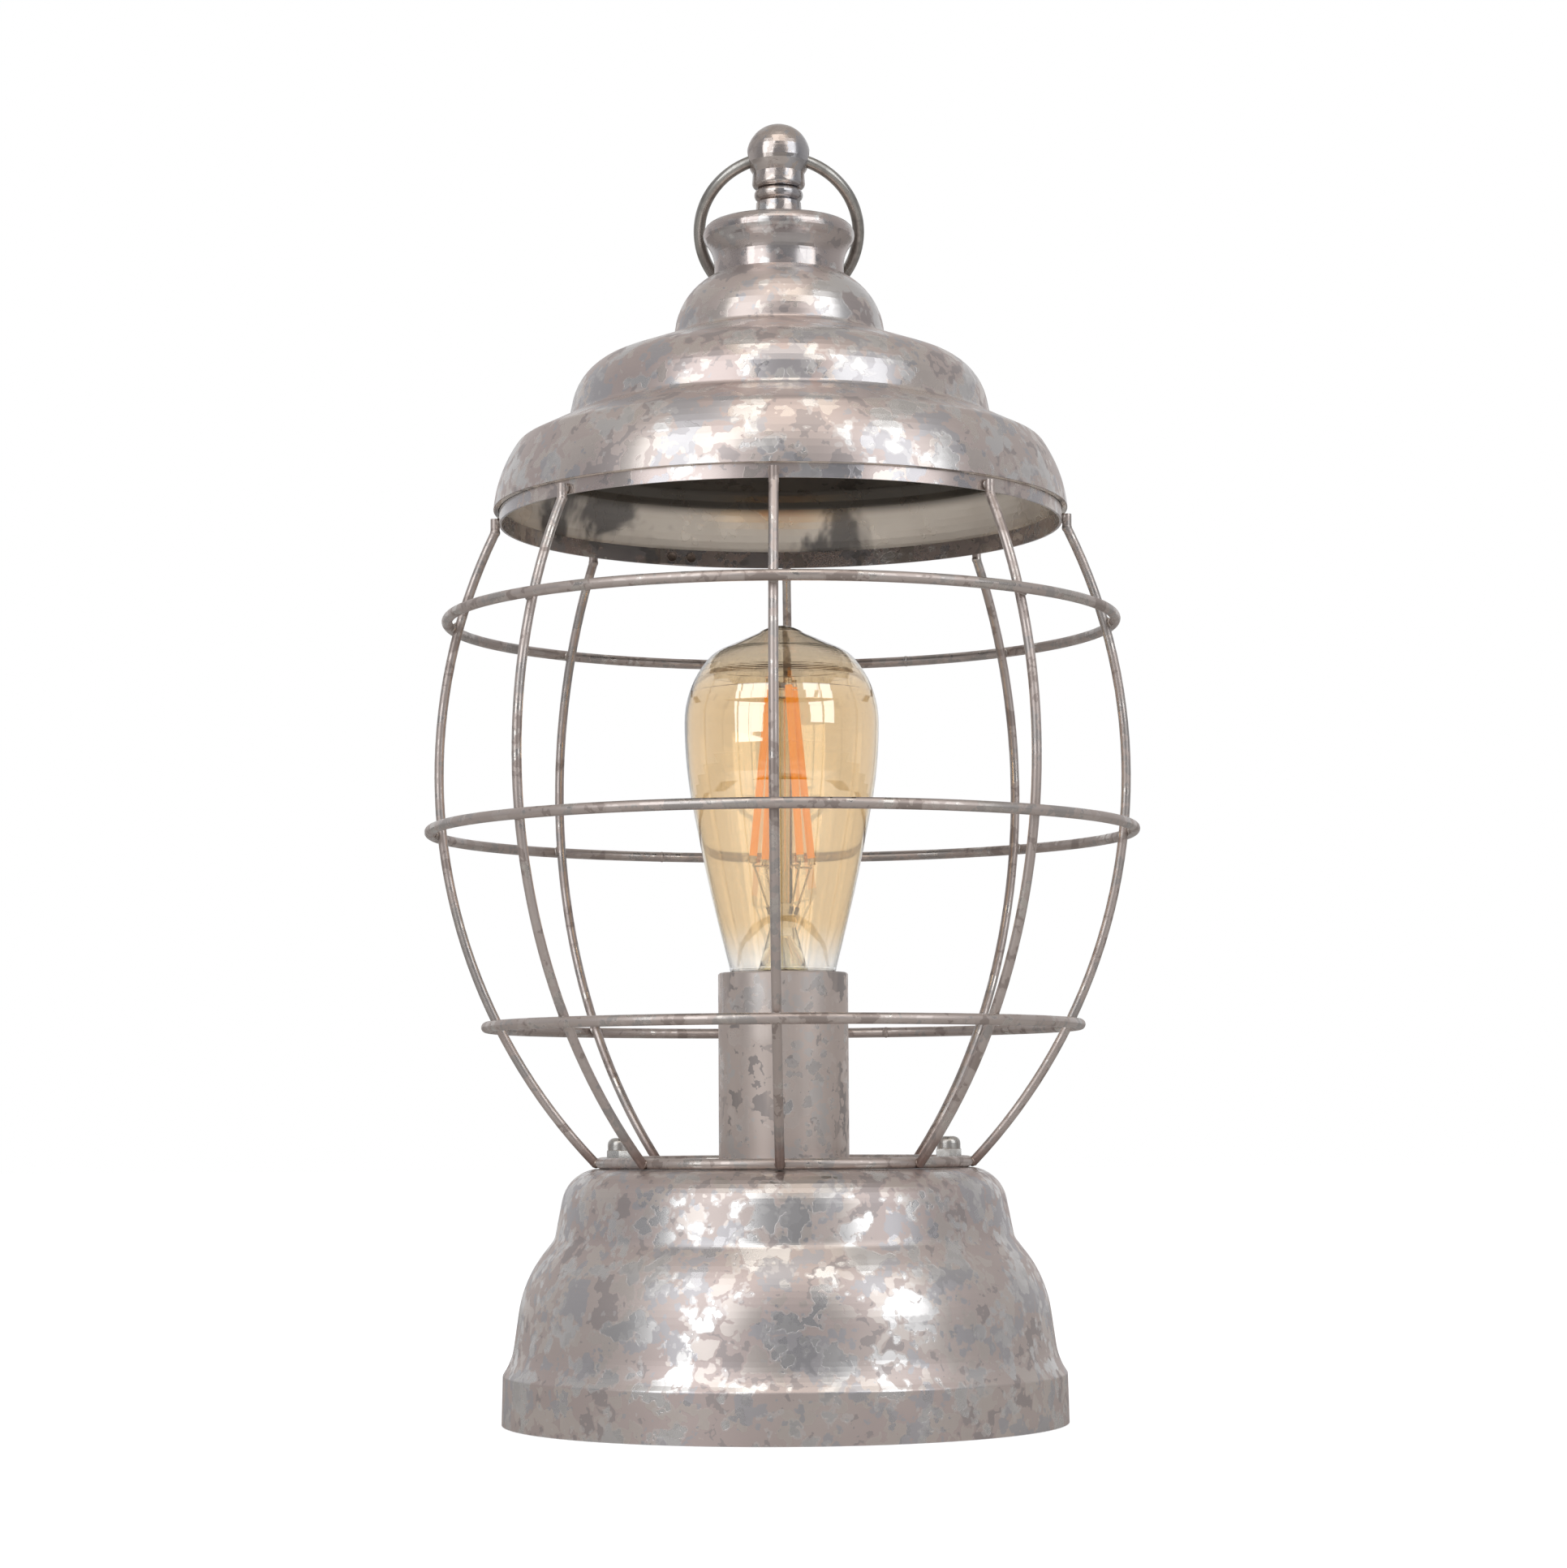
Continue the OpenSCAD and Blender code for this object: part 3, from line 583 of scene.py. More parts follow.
@dataclass(frozen=True)
class Moulded:
    """Rubber, ceramic or glassy mouldings: not metal."""

    name: str
    colour: Colour
    dust: Colour
    rough: float = 0.5
    grain: float = 1400.0
    depth: float = 0.00003
    coat: float = 0.0
    # Painted glow: a strength above zero makes a part glow that is no lamp.
    glow: float = 0.0

    def make(self) -> bpy.types.Material:
        """Builds the material.

        Returns:
            The material.
        """
        board = Board(self.name)
        place = board.place()
        cloud = board.noise(place, 160.0, 4.0, 0.6)
        grain = board.noise(place, self.grain, 2.0, 0.6)
        colour = board.mix(cloud.step(0.45, 0.75) * 0.5, self.colour, self.dust)
        rough = self.rough + 0.15 * (cloud - 0.5) + 0.08 * (grain - 0.5)
        return board.surface(
            Base_Color=colour,
            Roughness=rough,
            Coat_Weight=self.coat,
            Normal=board.relief(grain + cloud, self.depth, 0.7),
            # Painted glow: the part's own colour is emitted at the glow strength.
            Emission_Color=self.colour,
            Emission_Strength=self.glow,
        )


@dataclass(frozen=True)
class BulbGlass:
    """Thin blown glass, amber above and clear where the tint fades at the neck, with a painted highlight
    that makes its top paler.
    """

    name: str = "amber_bulb_glass"
    amber: Colour = (0.90, 0.75, 0.535)
    # Painted highlight: the share of amber taken off the bulb's top, so that the top reads paler as if lit
    # from above.
    crown: float = 0.55
    film: float = 0.15
    clear: Colour = (0.95, 0.94, 0.925)
    fade_low: float = 0.1465
    fade_high: float = 0.1640

    def make(self) -> bpy.types.Material:
        """Builds the material.

        Returns:
            The material.
        """
        board = Board(self.name)
        place = board.place()
        haze = board.noise(place, 55.0, 3.0, 0.6)
        level = board.height() + 0.004 * (haze - 0.5)
        # Painted highlight: the tint thins over the bulb's top, from 236 mm up.
        tint = level.step(self.fade_low, self.fade_high) - self.crown * level.step(0.236, 0.252)
        colour = board.mix(tint, self.clear, self.amber)
        ripple = board.noise(board.place((0.0, 0.0, 0.0), (1.0, 1.0, 0.35)), 34.0, 1.0)
        normal = board.relief(ripple, 0.0008, 0.25)
        glass = board.principled(
            Base_Color=colour,
            Roughness=0.015 + 0.02 * haze,
            Normal=normal,
            Transmission_Weight=1.0,
            IOR=1.45,
        )
        sockets = {"Color": (0.97, 0.98, 1.0), "Roughness": 0.015, "Normal": normal}
        film = board.node("ShaderNodeBsdfAnisotropic", {}, sockets)
        both = board.node("ShaderNodeMixShader", {}, {0: self.film, 1: glass, 2: film.outputs[0]})
        return board.finish(both.outputs[0])


@dataclass(frozen=True)
class ClearGlass:
    """Clear drawn glass of the stem and its rod."""

    name: str = "clear_stem_glass"
    tint: Colour = (0.95, 0.91, 0.76)

    def make(self) -> bpy.types.Material:
        """Builds the material.

        Returns:
            The material.
        """
        board = Board(self.name)
        streak = board.noise(board.place((0.0, 0.0, 0.0), (1.0, 1.0, 0.2)), 420.0, 2.0)
        colour = board.mix(streak * 0.4, self.tint, tuple(value * 0.92 for value in self.tint))
        return board.surface(
            Base_Color=colour,
            Roughness=0.03 + 0.05 * streak,
            Normal=board.relief(streak, 0.0001, 0.4),
            Transmission_Weight=1.0,
            IOR=1.5,
        )


@dataclass(frozen=True)
class Bend:
    """A bend of a spun sheet and the straight run above it, in millimetres and degrees.

    Its angles are how far the skin's outward normal leans up, at the bend's start and end.
    A hollow bend's radius is below zero. The run has a length or ends at a radius.
    """

    radius: float
    start: float
    end: float
    length: float = 0.0
    until: float = 0.0
    steps: int = 4


@dataclass(frozen=True)
class SpunSheet:
    """A spun sheet, given by the radius and height of its rim, its wall and its bends."""

    rim: Place2
    wall: float
    bends: tuple[Bend, ...]

    def middle(self) -> tuple[Place2, ...]:
        """The line along the middle of the wall.

        Returns:
            Its points from below, as (height, radius) in millimetres.
        """
        half = self.wall / 2
        radius, z = self.rim
        points = []
        for bend in self.bends:
            lean = math.radians(bend.start)
            centre = (radius - bend.radius * math.cos(lean), z - bend.radius * math.sin(lean))
            for step in range(bend.steps + 1):
                lean = math.radians(bend.start + (bend.end - bend.start) * step / bend.steps)
                out, up = math.cos(lean), math.sin(lean)
                radius, z = centre[0] + bend.radius * out, centre[1] + bend.radius * up
                points.append((z - half * up, radius - half * out))
            length = (radius - bend.until) / up if bend.until else bend.length
            radius, z = radius - length * up, z + length * out
        return (*points, (z - half * up, radius - half * out))


LID_SHEET = SpunSheet(
    (95.4, 299.6),
    0.8,
    (
        Bend(44.0, 5.0, 34.0),
        Bend(5.0, 34.0, 64.0, until=71.6, steps=2),
        Bend(-2.5, 64.0, 12.0, length=6.2, steps=2),
        Bend(19.0, 14.0, 70.0, until=36.4),
        Bend(-2.0, 70.0, 5.0, length=1.8, steps=2),
        Bend(23.0, 7.0, 58.0, until=22.3),
    ),
)

SHEET = Galvanised("galvanised_base_sheet")
LID = Galvanised(
    "galvanised_lid_sheet",
    patch=0.014,
    flake=0.0042,
    bare_from=0.565,
    skin_rough=0.35,
    shift=(1.3, 0.4, 2.1),
    lining=Lining(LID_SHEET.middle()),
)
CHIMNEY = Galvanised(
    "galvanised_chimney",
    warm=(0.52, 0.445, 0.42),
    pale=(0.57, 0.50, 0.47),
    cool=(0.47, 0.445, 0.44),
    bare_from=0.62,
    skin_rough=0.27,
    metal=0.9,
    shift=(4.3, 1.4, 0.6),
)
TUBE = Galvanised(
    "galvanised_socket_tube",
    warm=(0.60, 0.51, 0.465),
    pale=(0.68, 0.60, 0.555),
    cool=(0.55, 0.525, 0.51),
    deep=(0.24, 0.22, 0.22),
    bare_from=0.68,
    skin_rough=0.40,
    metal=0.65,
    dull=0.05,
    specks=0.6,
    patch=0.012,
    shift=(5.1, 2.2, 0.7),
)
WIRE = Galvanised(
    "galvanised_cage_wire",
    warm=(0.51, 0.435, 0.40),
    pale=(0.57, 0.50, 0.465),
    cool=(0.40, 0.375, 0.36),
    deep=(0.32, 0.26, 0.235),
    bare=(0.62, 0.57, 0.53),
    bare_from=0.62,
    bare_rough=0.22,
    skin_rough=0.42,
    patch=0.012,
    flake=0.0030,
    shift=(2.7, 3.1, 1.9),
    depth=0.00002,
)
RIB = replace(WIRE, name="galvanised_rib_wire", shift=(7.7, 0.1, 2.9), scorch=0.0845)
STRAP = Galvanised(
    "galvanised_strap",
    bare_from=0.60,
    skin_rough=0.27,
    patch=0.014,
    flake=0.0035,
    shift=(0.9, 4.4, 2.3),
)
FINIAL = Galvanised(
    "galvanised_finial",
    warm=(0.50, 0.435, 0.40),
    pale=(0.60, 0.535, 0.50),
    bare_from=0.66,
    skin_rough=0.27,
    metal=0.9,
    patch=0.010,
    flake=0.0035,
    shift=(6.1, 1.2, 4.0),
)
RING = PlainMetal("tarnished_ring_wire", (0.47, 0.45, 0.42), (0.27, 0.255, 0.235), 0.33, 700.0, 0.009)
NUT = PlainMetal("bright_cap_nut", (0.56, 0.54, 0.51), (0.42, 0.39, 0.36), 0.32, 900.0, 0.004, metallic=0.9)
ZINC = PlainMetal("plain_zinc", (0.66, 0.66, 0.66), (0.50, 0.50, 0.49), 0.34)
IRON = PlainMetal("cast_ballast", (0.10, 0.10, 0.105), (0.16, 0.12, 0.09), 0.62, 500.0, 0.02, 0.0002, 0.55)
BRASS = PlainMetal("plain_brass", (0.78, 0.58, 0.28), (0.55, 0.38, 0.18), 0.27)
NICKEL = PlainMetal("nickel_cap", (0.72, 0.70, 0.66), (0.55, 0.52, 0.47), 0.24)
SOLDER = PlainMetal("solder_tip", (0.60, 0.60, 0.61), (0.45, 0.45, 0.46), 0.42, 500.0, 0.004)
LEAD = PlainMetal("nickel_wire", (0.70, 0.66, 0.58), (0.50, 0.44, 0.36), 0.30, 1200.0, 0.004)
KNOT = PlainMetal("dark_nickel", (0.30, 0.26, 0.20), (0.17, 0.14, 0.10), 0.38, 1200.0, 0.003)
SCORCH = PlainMetal("weld_scorch", (0.36, 0.29, 0.25), (0.22, 0.16, 0.135), 0.42, 900.0, 0.0022, 0.00008)
WELD = PlainMetal("weld_metal", (0.50, 0.45, 0.42), (0.34, 0.29, 0.26), 0.36, 900.0, 0.003, 0.00006)
RUBBER = Moulded("black_rubber", (0.025, 0.025, 0.026), (0.05, 0.048, 0.045), 0.62)
CERAMIC = Moulded("lampholder_ceramic", (0.80, 0.77, 0.72), (0.66, 0.62, 0.56), 0.32, coat=0.25)
BLACK_GLASS = Moulded("black_insulator", (0.012, 0.012, 0.014), (0.03, 0.03, 0.03), 0.18, coat=0.4)
# Painted glow: the filaments of the unlit bulb are made to glow orange.
PAINTED_GLOW_FILAMENT = Moulded("filament_coating", (0.92, 0.33, 0.0), (0.98, 0.43, 0.01), 0.45, glow=0.66)
BULB_GLASS = BulbGlass()
STEM_GLASS = ClearGlass()

Finish = Union[Galvanised, PlainMetal, Moulded, BulbGlass, ClearGlass]


class Paint:
    """Makes each finish once and puts it on nodes and new pieces."""

    made: dict[str, bpy.types.Material] = {}

    @classmethod
    def get(cls, finish: Finish) -> bpy.types.Material:
        """The material of a finish.

        Args:
            finish: The finish.

        Returns:
            Its material, built at its first use.
        """
        if finish.name not in cls.made:
            cls.made[finish.name] = finish.make()
        return cls.made[finish.name]

    @classmethod
    def on(cls, piece: bpy.types.Object, finish: Finish) -> None:
        """Gives a piece one finish in all its slots.

        Args:
            piece: The piece or CAD node.
            finish: The finish.
        """
        material = cls.get(finish)
        if not piece.data.materials:
            piece.data.materials.append(material)
        for index in range(len(piece.data.materials)):
            piece.data.materials[index] = material


def dress(finishes: dict[str, Finish]) -> None:
    """Gives CAD nodes their finishes.

    Args:
        finishes: The finish of each node, by node name.
    """
    for name, finish in finishes.items():
        Paint.on(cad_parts[name], finish)
        LOG.info("%s: %s", name, finish.name)


# Modelling by hand


class Bench:
    """Edit-mode steps that shape a piece and lay it down in its place."""

    @staticmethod
    def clear() -> None:
        """Deselects everything."""
        if bpy.context.object is not None and bpy.context.object.mode != "OBJECT":
            bpy.ops.object.mode_set(mode="OBJECT")
        bpy.ops.object.select_all(action="DESELECT")

    @staticmethod
    def rod(name: str, sides: int, radius: float, length: float, middle: float = 0.0) -> bpy.types.Object:
        """Adds a cylinder along Z.

        Args:
            name: The piece's name.
            sides: Its number of sides.
            radius: Its radius.
            length: Its length.
            middle: The height of its middle.

        Returns:
            The piece.
        """
        Bench.clear()
        bpy.ops.mesh.primitive_cylinder_add(
            vertices=sides, radius=radius, depth=length, location=(0.0, 0.0, middle)
        )
        bpy.ops.object.transform_apply(location=True)
        return Bench.begin(name)

    @staticmethod
    def begin(name: str) -> bpy.types.Object:
        """Names the primitive that was just added.

        Args:
            name: The piece's name.

        Returns:
            The piece.
        """
        piece = bpy.context.object
        piece.name = name
        piece.data.name = name
        return piece

    @staticmethod
    def pick(piece: bpy.types.Object, test: Callable[[Vector, Vector], bool]) -> None:
        """Enters edit mode with some faces selected.

        Args:
            piece: The piece.
            test: Says of a face's centre and normal whether it is selected.
        """
        bpy.context.view_layer.objects.active = piece
        bpy.ops.object.mode_set(mode="EDIT")
        bpy.ops.mesh.select_mode(type="FACE")
        bpy.ops.mesh.select_all(action="DESELECT")
        bpy.ops.object.mode_set(mode="OBJECT")
        for face in piece.data.polygons:
            face.select = test(face.center, face.normal)
        bpy.ops.object.mode_set(mode="EDIT")

    @staticmethod
    def top(piece: bpy.types.Object) -> None:
        """Enters edit mode with the faces that look up selected."""
        Bench.pick(piece, lambda centre, normal: normal.z > SQUARE_ON)

    @staticmethod
    def foot(piece: bpy.types.Object) -> None:
        """Enters edit mode with the faces that look down selected."""
        Bench.pick(piece, lambda centre, normal: normal.z < -SQUARE_ON)

    @staticmethod
    def ends(piece: bpy.types.Object) -> None:
        """Enters edit mode with the faces that look up or down selected."""
        Bench.pick(piece, lambda centre, normal: abs(normal.z) > SQUARE_ON)

    @staticmethod
    def all(piece: bpy.types.Object) -> None:
        """Enters edit mode with the whole piece selected.

        Args:
            piece: The piece.
        """
        bpy.context.view_layer.objects.active = piece
        bpy.ops.object.mode_set(mode="EDIT")
        bpy.ops.mesh.select_all(action="SELECT")

    @staticmethod
    def cut(height: float) -> None:
        """Cuts the whole piece level at a height, in edit mode."""
        bpy.ops.mesh.select_all(action="SELECT")
        bpy.ops.mesh.bisect(plane_co=(0.0, 0.0, height), plane_no=(0.0, 0.0, 1.0))

    @staticmethod
    def scale(across: float, along: float = 1.0) -> None:
        """Scales what is selected across and along Z, in edit mode."""
        bpy.ops.transform.resize(value=(across, across, along))

    @staticmethod
    def pull(height: float) -> None:
        """Extrudes what is selected along Z, in edit mode."""
        bpy.ops.mesh.extrude_region_move(TRANSFORM_OT_translate={"value": (0.0, 0.0, height)})

    @staticmethod
    def done() -> None:
        """Leaves edit mode."""
        bpy.ops.object.mode_set(mode="OBJECT")

    @staticmethod
    def apply(piece: bpy.types.Object, kind: str, **settings: Any) -> None:
        """Adds a modifier and applies it.

        Args:
            piece: The piece.
            kind: The modifier's type.
            settings: Its properties.
        """
        Bench.clear()
        piece.select_set(True)
        bpy.context.view_layer.objects.active = piece
        modifier = piece.modifiers.new(kind.lower(), kind)
        for key, value in settings.items():
            setattr(modifier, key, value)
        bpy.ops.object.modifier_apply(modifier=modifier.name)

    @staticmethod
    def soften(piece: bpy.types.Object, width: float, segments: int = 2, angle: float = 30.0) -> None:
        """Rounds the sharp edges of a piece.

        Args:
            piece: The piece.
            width: The rounding's width.
            segments: Its number of segments.
            angle: The crease angle in degrees above which an edge is sharp.
        """
        sharp = {"limit_method": "ANGLE", "angle_limit": math.radians(angle)}
        Bench.apply(piece, "BEVEL", width=width, segments=segments, **sharp)

    @staticmethod
    def copies(master: bpy.types.Object, name: str, spots: Iterable[Matrix]) -> bpy.types.Object:
        """Copies a master to each spot, joins the copies and drops the master.

        Args:
            master: The piece to copy.
            name: The name of the joined piece.
            spots: The place and turn of each copy.

        Returns:
            The joined piece.
        """
        made = []
        for spot in spots:
            mesh = master.data.copy()
            mesh.transform(spot)
            piece = bpy.data.objects.new(name, mesh)
            bpy.context.scene.collection.objects.link(piece)
            made.append(piece)
        Bench.clear()
        bpy.data.objects.remove(master)
        for piece in made:
            piece.select_set(True)
        bpy.context.view_layer.objects.active = made[0]
        if len(made) > 1:
            bpy.ops.object.join()
        joined = bpy.context.object
        joined.name = name
        joined.data.name = name
        return joined

    @staticmethod
    def seat(
        piece: bpy.types.Object,
        finish: Finish,
        slot: str,
        body: Body = Body.LAMP,
        angle: float = 50.0,
    ) -> None:
        """Smooths, paints and seats a finished piece.

        Args:
            piece: The piece.
            finish: Its finish.
            slot: Not used.
            body: The body that it rides on.
            angle: The crease angle in degrees above which an edge stays sharp.
        """
        Bench.clear()
        piece.select_set(True)
        bpy.context.view_layer.objects.active = piece
        bpy.ops.object.shade_smooth_by_angle(angle=math.radians(angle))
        Paint.on(piece, finish)
        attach(piece, body.value)
        LOG.info("%s rides on %s, %d faces", piece.name, body.value, len(piece.data.polygons))


def turn_about(degrees: float) -> Matrix:
    """A turn about the lamp's axis."""
    return Matrix.Rotation(math.radians(degrees), 4, "Z")


# The lamp's sub-assemblies


@dataclass
class WireCage:
    """Foot ring, eight bowed ribs, three hoops and the strap, with their welds."""

    ribs: int = 8
    turn: float = -1.2
    rib_d: float = 3.1 * MM
    hoop_d: float = 3.5 * MM
    ring_d: float = 3.6 * MM
    bend: float = 185.56 * MM
    centre: float = -71.7596 * MM
    mid_z: float = 212.691 * MM
    touch: float = 0.08 * MM
    foot_ring_r: float = 60.0143 * MM
    foot_ring_z: float = 84.18 * MM
    foot_x: float = 61.6143 * MM
    foot_z: float = 83.68 * MM
    hoops: dict[str, float] = field(
        default_factory=lambda: {"hoop_lower": 0.1285, "hoop_middle": 0.1924, "hoop_upper": 0.262}
    )
    strap_r: float = 93.5 * MM
    strap_z: float = 294.9 * MM
    lap_r: float = 91.85 * MM
    lap_spots: tuple[float, ...] = (111.6, 116.2)
    seams: tuple[float, ...] = (68.0, 112.0, 66.0, 70.0)
    nut_x: float = 54.0143 * MM
    nut_z: float = 84.8 * MM
    nut_af: float = 8.0 * MM
    nut_h: float = 7.5 * MM
    hex_h: float = 3.6 * MM
    hex_chamfer: float = 0.45 * MM
    hex_rims: Place2 = (0.6 * MM, 0.35 * MM)
    crown_r: float = 3.85 * MM
    crown_round: float = 2.3 * MM
    nut_bore_r: float = 2.6 * MM
    nut_bore_h: float = 5.4 * MM
    hoop_bead: Place2 = (2.0 * MM, 1.9 * MM)
    strap_bead: Place2 = (1.95 * MM, 2.2 * MM)
    seam_bead: Place2 = (2.0 * MM, 2.4 * MM)
    foot_bead: Place2 = (1.8 * MM, 3.2 * MM)
    uneven: float = 0.10
    strap_weld: Place2 = (0.75 * MM, 1.75 * MM)
    foot_weld_h: float = 0.4 * MM
    foot_lean: float = 48.0
    spot_r: float = 1.7 * MM
    spot_t: float = 0.5 * MM
    spot_h: float = 2.85 * MM
    spot_dents: tuple[Place2, ...] = ((0.45 * MM, 0.35), (0.6 * MM, 0.6))

    def rib_at(self, z: float) -> float:
        """Distance of the rib line from the lamp's axis at a height."""
        return self.centre + math.sqrt(self.bend**2 - (z - self.mid_z) ** 2)

    def lean(self, z: float) -> float:
        """Lean of the rib's outward normal above the level, in radians, at a height."""
        return math.asin((z - self.mid_z) / self.bend)

    def dress(self) -> None:
        """Gives the cage's nodes their finishes."""
        dress({name: WIRE for name in ("cage_foot_ring", "cage_tabs", *self.hoops)})
        dress({f"rib_{i + 1}": RIB for i in range(self.ribs)})
        dress({"cage_strap": STRAP, "cage_bolts": ZINC, "cage_washers": ZINC})

    def at_ribs(self, stand: Matrix, spin: float = 0.0) -> list[Matrix]:
        """Places at the ribs.

        Args:
            stand: The place at a rib on the X axis.
            spin: The further turn about its own axis from one rib to the next, in radians.

        Returns:
            One place for each rib.
        """
        places = []
        for rib in range(self.ribs):
            own = Matrix.Rotation(spin * rib, 4, "Z")
            places.append(turn_about(self.turn + rib * 360 / self.ribs) @ stand @ own)
        return places

    def nugget(self, size: Place2, seed: int) -> bpy.types.Object:
        """A weld nugget: a flattened, slightly uneven bead at the origin.

        Args:
            size: Its radius in the plane of the joint and its thickness along Z.
            seed: Seed of its unevenness.

        Returns:
            The nugget.
        """
        radius, thick = size
        Bench.clear()
        bpy.ops.mesh.primitive_uv_sphere_add(segments=16, ring_count=8, radius=radius)
        piece = Bench.begin("nugget")
        Bench.all(piece)
        Bench.scale(1.0, thick / (2 * radius))
        bpy.ops.transform.vertex_random(offset=self.uneven * radius, uniform=0.4, seed=seed)
        Bench.done()
        Bench.apply(piece, "SUBSURF", levels=1, render_levels=1)
        return piece

    def crossing_welds(self) -> None:
        """Welds each hoop to the ribs that it crosses."""
        for number, (hoop, z) in enumerate(self.hoops.items()):
            lean = self.lean(z)
            radius = self.rib_at(z) + (self.rib_d / 2 + self.touch / 2) * math.cos(lean)
            level = z + (self.rib_d / 2 - (self.rib_d + self.hoop_d) / 2) * math.sin(lean)
            stand = Matrix.Translation((radius, 0.0, level)) @ Matrix.Rotation(math.pi / 2 - lean, 4, "Y")
            master = self.nugget(self.hoop_bead, seed=3 + number)
            beads = Bench.copies(master, f"{hoop}_welds", self.at_ribs(stand, spin=0.9))
            Bench.seat(beads, WELD, "galvanised_wire")

    def top_welds(self) -> None:
        """Weld beads that run each rib's upper end into the strap."""
        out, up = self.strap_weld
        stand = Matrix.Translation((self.strap_r + out, 0.0, self.strap_z + up))
        spots = self.at_ribs(stand @ Matrix.Rotation(math.pi / 2, 4, "Y"))
        beads = Bench.copies(self.nugget(self.strap_bead, seed=19), "strap_welds", spots)
        Bench.seat(beads, WELD, "galvanised_wire")

    def ring_seams(self) -> None:
        """Butt-weld beads where the ends of each hoop and of the foot ring meet."""
        spots = []
        for bearing, (z, radius) in zip(self.seams, self.rings()):
            stand = Matrix.Translation((radius, 0.0, z)) @ Matrix.Rotation(math.pi / 2, 4, "X")
            spots.append(turn_about(bearing) @ stand)
        beads = Bench.copies(self.nugget(self.seam_bead, seed=23), "ring_seams", spots)
        Bench.seat(beads, WIRE, "galvanised_wire")

    def rings(self) -> list[Place2]:
        """The middle lines of the rings.

        Returns:
            Height and radius of each hoop and of the foot ring.
        """
        found = []
        for z in self.hoops.values():
            reach = (self.rib_d + self.hoop_d) / 2 + self.touch
            found.append((z, self.rib_at(z) + reach * math.cos(self.lean(z))))
        return [*found, (self.foot_ring_z, self.foot_ring_r)]

    def strap_spots(self) -> None:
        """Two dimpled spot welds that close the strap's lap."""
        master = Bench.rod("spot", 24, self.spot_r, self.spot_t)
        Bench.ends(master)
        for margin, flatten in self.spot_dents:
            bpy.ops.mesh.inset(thickness=margin)
            Bench.scale(1.0, flatten)
        Bench.done()
        Bench.soften(master, 0.08 * MM)
        spots = []
        for bearing in self.lap_spots:
            stand = Matrix.Translation((self.lap_r, 0.0, self.strap_z + self.spot_h))
            tilt = Matrix.Rotation(math.pi / 2, 4, "Y")
            spots.append(turn_about(self.turn + bearing) @ stand @ tilt)
        Bench.seat(Bench.copies(master, "strap_spot_welds", spots), SCORCH, "galvanised_strap")

    def foot_welds(self) -> None:
        """Scorched weld beads where the ribs stand on the foot ring."""
        stand = Matrix.Translation((self.foot_x, 0.0, self.foot_z + self.foot_weld_h))
        spots = self.at_ribs(stand @ Matrix.Rotation(math.radians(self.foot_lean), 4, "Y"), spin=1.0)
        beads = Bench.copies(self.nugget(self.foot_bead, seed=11), "foot_welds", spots)
        Bench.seat(beads, SCORCH, "galvanised_wire")

    def acorn_nuts(self) -> None:
        """The acorn nuts: a chamfered hexagon below a flat-topped, bored crown."""
        crown = Bench.rod("crown", 48, self.crown_r, self.nut_h, self.nut_h / 2)
        Bench.top(crown)
        bpy.ops.mesh.bevel(offset=self.crown_round, segments=8, affect="EDGES")
        Bench.done()
        Bench.foot(crown)
        bpy.ops.mesh.inset(thickness=self.crown_r - self.nut_bore_r)
        Bench.pull(self.nut_bore_h)
        Bench.done()
        flats = Bench.rod("flats", 6, self.nut_af / math.sqrt(3.0), self.hex_h, self.hex_h / 2)
        Bench.top(flats)
        bpy.ops.mesh.bevel(offset=self.hex_chamfer, segments=3, affect="EDGES")
        Bench.done()
        for select, margin in zip((Bench.foot, Bench.top), self.hex_rims):
            select(flats)
            bpy.ops.mesh.inset(thickness=margin)
            bpy.ops.mesh.delete(type="FACE")
            Bench.done()
        Bench.clear()
        crown.select_set(True)
        flats.select_set(True)
        bpy.context.view_layer.objects.active = crown
        bpy.ops.object.join()
        spots = [Matrix.Translation((side * self.nut_x, 0.0, self.nut_z)) for side in (-1, 1)]
        piece = Bench.copies(crown, "acorn_nuts", spots)
        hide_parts("cap_nuts")
        Bench.seat(piece, NUT, "bright_nut", angle=35.0)

    def build(self) -> None:
        """Builds what the solids leave out, and dresses the cage."""
        self.dress()
        self.crossing_welds()
        self.top_welds()
        self.foot_welds()
        self.ring_seams()
        self.strap_spots()
        self.acorn_nuts()


